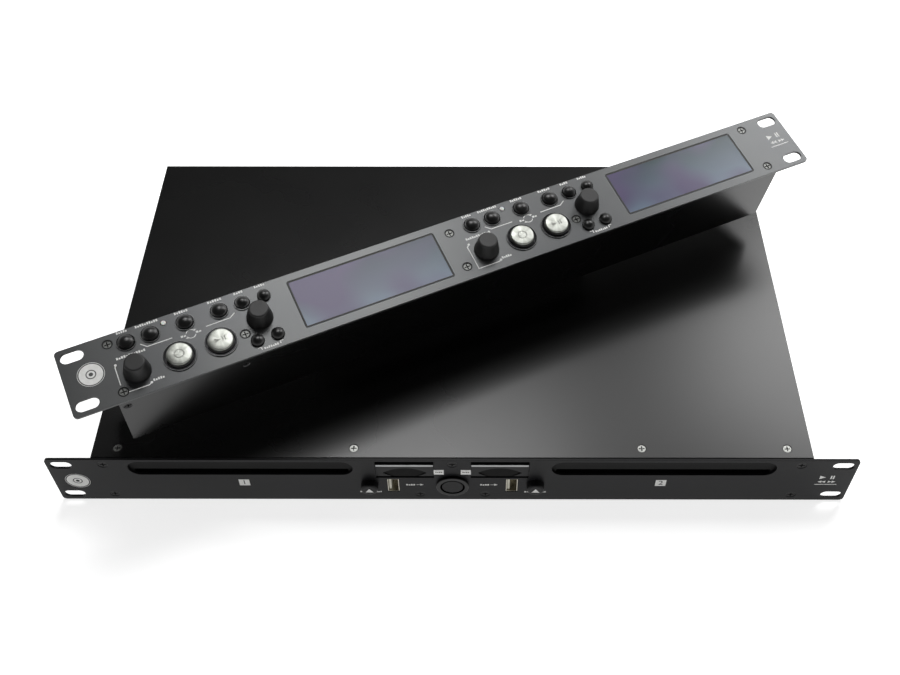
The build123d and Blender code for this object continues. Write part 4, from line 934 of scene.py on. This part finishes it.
SEARCH_LINES = {               # the lines round the track knob, which differ between the decks
    1: (((-212.3, 1.3), (-212.8, 0.0), (-213.0, -11.6)),
        ((-209.9, -17.1), (-198.6, -17.2), (-197.2, -16.4))),
    2: (((-210.8, 0.8), (-212.2, -0.4), (-212.1, -17.0), (-198.6, -17.0), (-197.2, -16.2)),),
}
SEARCH_DOTS = {1: (-212.2, 1.5), 2: (-210.6, 1.1)}
SEARCH_END_DOT = (-197.0, -16.2)
LABELS = (                     # x, z, width and height
    (-202.6, 5.0, 16.4, 1.5), (-172.4, 5.0, 3.0, 1.3), (-163.6, 5.0, 3.0, 1.3),
    (-192.7, -15.2, 6.2, 1.5), (-129.0, -19.6, 8.5, 1.4),
)


def ring_rims(deck):
    """A bright chrome line round each trim ring: a painted highlight."""
    shift = (deck - 1) * deck_pitch
    highlights = []
    for x, z, outer in RINGS:
        highlights += annulus(x + shift, z, outer - SLACK, outer - SLACK - RIM_WIDTH)
    printed(f"deck_{deck}_ring_rims", highlights, CONTROL, "controller", rim_highlight_chrome,
            y=-RING_PROUD, thickness=RIM_THICKNESS)


def window_border(deck):
    """A black printed frame along the edge of a window."""
    x = WINDOW_X + (deck - 1) * deck_pitch
    right, top = WINDOW_WIDTH / 2, WINDOW_HEIGHT / 2
    frame_bars = bar(x, WINDOW_Z + top - WINDOW_BORDER / 2, WINDOW_WIDTH, WINDOW_BORDER)
    frame_bars += bar(x, WINDOW_Z - top + WINDOW_BORDER / 2, WINDOW_WIDTH, WINDOW_BORDER)
    for side in (-1, 1):
        frame_bars += bar(x + side * (right - WINDOW_BORDER / 2), WINDOW_Z, WINDOW_BORDER,
                          WINDOW_HEIGHT - 2 * WINDOW_BORDER)
    printed(f"window_border_{deck}", frame_bars, CONTROL, "controller", black_ink,
            y=WINDOW_RECESS)


def screw_shades():
    """Black rings in the countersinks of the control unit's panel: painted shade on their walls."""
    shades = []
    for x, z in CONTROL_SCREWS:
        shades += annulus(x, z, SCREW_HEAD_RADIUS, SCREW_HEAD_RADIUS - SCREW_SHADE)
    printed("control_screw_painted_shades", shades, CONTROL, "controller", black_oxide_and_painted_shade,
            y=SCREW_SHADE_DEPTH)


def control_printing(deck):
    """Lines, labels and signs round one deck's controls."""
    marks = []
    for x, width in TOP_LABELS:
        marks += label(x, TOP_LABEL_Z, width, height=LABEL_HEIGHT)
    for x, z, width, height in LABELS:
        marks += label(x, z, width, height=height)
    for points in LINES + SEARCH_LINES[deck]:
        marks += stroke(points, LINE)
    x, z = TURN_SIGN
    for first, last in TURN_ARCS:
        marks += annulus(x, z, *TURN_SIGN_RADII, first, last)
    for side in (1, -1):
        marks += arrow(x + side * TURN_ARROW[0], z + side * TURN_ARROW[1], TURN_ARROW_SIZE, side)
    for spot in (SEARCH_DOTS[deck], SEARCH_END_DOT):
        marks += dot(*spot, DOT_RADIUS)
    shift = (deck - 1) * deck_pitch
    moved = [[(x + shift, y) for x, y in polygon] for polygon in marks]
    printed(f"deck_{deck}_printing", moved, CONTROL, "controller", white_ink)


for deck in DECKS:
    control_printing(deck)
    ring_rims(deck)
    window_border(deck)
screw_shades()


def transport_signs(x, z, size):
    """Play, pause, back and forward signs in two rows over a thin line, in shares of its size."""
    marks = arrow(x - 0.72 * size, z + 0.55 * size, 0.8 * size, 1)
    for side in (-1, 1):
        marks += bar(x + (0.55 + side * 0.16) * size, z + 0.55 * size, 0.18 * size, 0.8 * size)
    for direction in (-1, 1):
        for step in (0.0, 0.5):
            middle = x + direction * (0.42 + step) * size
            marks += arrow(middle, z - 0.5 * size, 0.5 * size, direction)
    marks += bar(x, z - 1.15 * size, 2.9 * size, 0.12 * size)
    return marks


def disc_sign(x, z, radius):
    """A plain disc with its hole, and a hairline round it."""
    return (annulus(x, z, radius, radius - SIGN_HAIRLINE)
            + annulus(x, z, radius - SIGN_MARGIN, SIGN_HUB) + annulus(x, z, *SIGN_HOLE_RING))


SIGN_RADIUS = 7.5
SIGN_HAIRLINE = 0.25
SIGN_MARGIN = 0.9
SIGN_HUB = 2.9
SIGN_HOLE_RING = (2.3, 1.2)    # outer and inner radius
TRANSPORT_SIZE = 4.6
CONTROL_DISC_SIGN = (-225.9, 1.1)
CONTROL_TRANSPORT_SIGNS = (230.6, 1.4)
PLAYER_DISC_SIGN = (-226.9, 21.0)
PLAYER_TRANSPORT_SIGNS = (226.3, 23.4)
printed("control_unit_disc_sign", disc_sign(*CONTROL_DISC_SIGN, SIGN_RADIUS), CONTROL,
        "controller", white_ink)
printed("control_unit_transport_signs",
        transport_signs(*CONTROL_TRANSPORT_SIGNS, TRANSPORT_SIZE), CONTROL, "controller",
        white_ink)


# Printing on the player's panel

CARD_LABEL_X = 8.1
CARD_LABEL_Z = 31.0
CARD_LABEL_SIZE = (6.0, 5.0)
CARD_SIGN_WIDTH = 4.0
CARD_SIGN_HEIGHT = 1.0
CARD_SIGN_BLOCK = 0.8
NUMBER_X = 126.2
NUMBER_Z = 19.3
NUMBER_SIZE = (6.4, 6.6)
FIGURE_HEIGHT = 4.4
USB_MARK_X = 22.5
USB_MARK_Z = 17.0
USB_LABEL = (-3.0, 5.4, 1.5)   # x from the mark's middle, width and height
USB_ARROW = (3.9, 2.2)         # x from the mark's middle, and size
USB_ARROW_TAIL = (1.9, 2.6, 0.4)
EJECT_X = 50.3
EJECT_PROUD = 4.5
EJECT_Z = 17.3
EJECT_LABEL_Z = 9.0
EJECT_LABELS = ((-5.1, 2.6), (5.1, 3.4))   # x from the button's middle, and width
EJECT_LABEL_HEIGHT = 1.3
EJECT_SIGN = (2.4, 1.9)        # half the width and half the height


def player_printing():
    """Labels, numbers and signs on the player's front."""
    marks = disc_sign(*PLAYER_DISC_SIGN, SIGN_RADIUS)
    marks += transport_signs(*PLAYER_TRANSPORT_SIGNS, TRANSPORT_SIZE)
    for _, side in SIDES:
        marks += bar(side * CARD_LABEL_X, CARD_LABEL_Z, *CARD_LABEL_SIZE)
        marks += bar(side * NUMBER_X, NUMBER_Z, *NUMBER_SIZE)
        usb = side * USB_MARK_X
        marks += label(usb + USB_LABEL[0], USB_MARK_Z, USB_LABEL[1], height=USB_LABEL[2])
        marks += arrow(usb + USB_ARROW[0], USB_MARK_Z, USB_ARROW[1], 1)
        marks += bar(usb + USB_ARROW_TAIL[0], USB_MARK_Z, *USB_ARROW_TAIL[1:])
        for shift, width in EJECT_LABELS:
            marks += label(side * EJECT_X + shift, EJECT_LABEL_Z, width,
                           height=EJECT_LABEL_HEIGHT)
    printed("player_printing", marks, PLAYER, "player", white_ink)
    signs = []
    for _, side in SIDES:
        signs += label(side * CARD_LABEL_X, CARD_LABEL_Z, CARD_SIGN_WIDTH,
                       height=CARD_SIGN_HEIGHT, tick=CARD_SIGN_BLOCK)
    printed("card_label_signs", signs, PLAYER, "player", black_ink, y=-INK_THICKNESS)
    for number, side in SIDES:
        digit(f"deck_number_{number}", str(number), side * NUMBER_X, NUMBER_Z, FIGURE_HEIGHT,
              PLAYER, "player", black_ink, INK_THICKNESS)
        middle = side * EJECT_X
        up = [[(middle - EJECT_SIGN[0], EJECT_Z - EJECT_SIGN[1]),
               (middle + EJECT_SIGN[0], EJECT_Z - EJECT_SIGN[1]),
               (middle, EJECT_Z + EJECT_SIGN[1])]]
        printed(f"eject_sign_{number}", up, PLAYER, f"eject_button_{number}", white_ink,
                y=-EJECT_PROUD)


player_printing()


view_settings = bpy.context.scene.view_settings
view_settings.view_transform = "Standard"


def corners(box):
    """A box as two plain lists."""
    return [list(box[0]), list(box[1])]
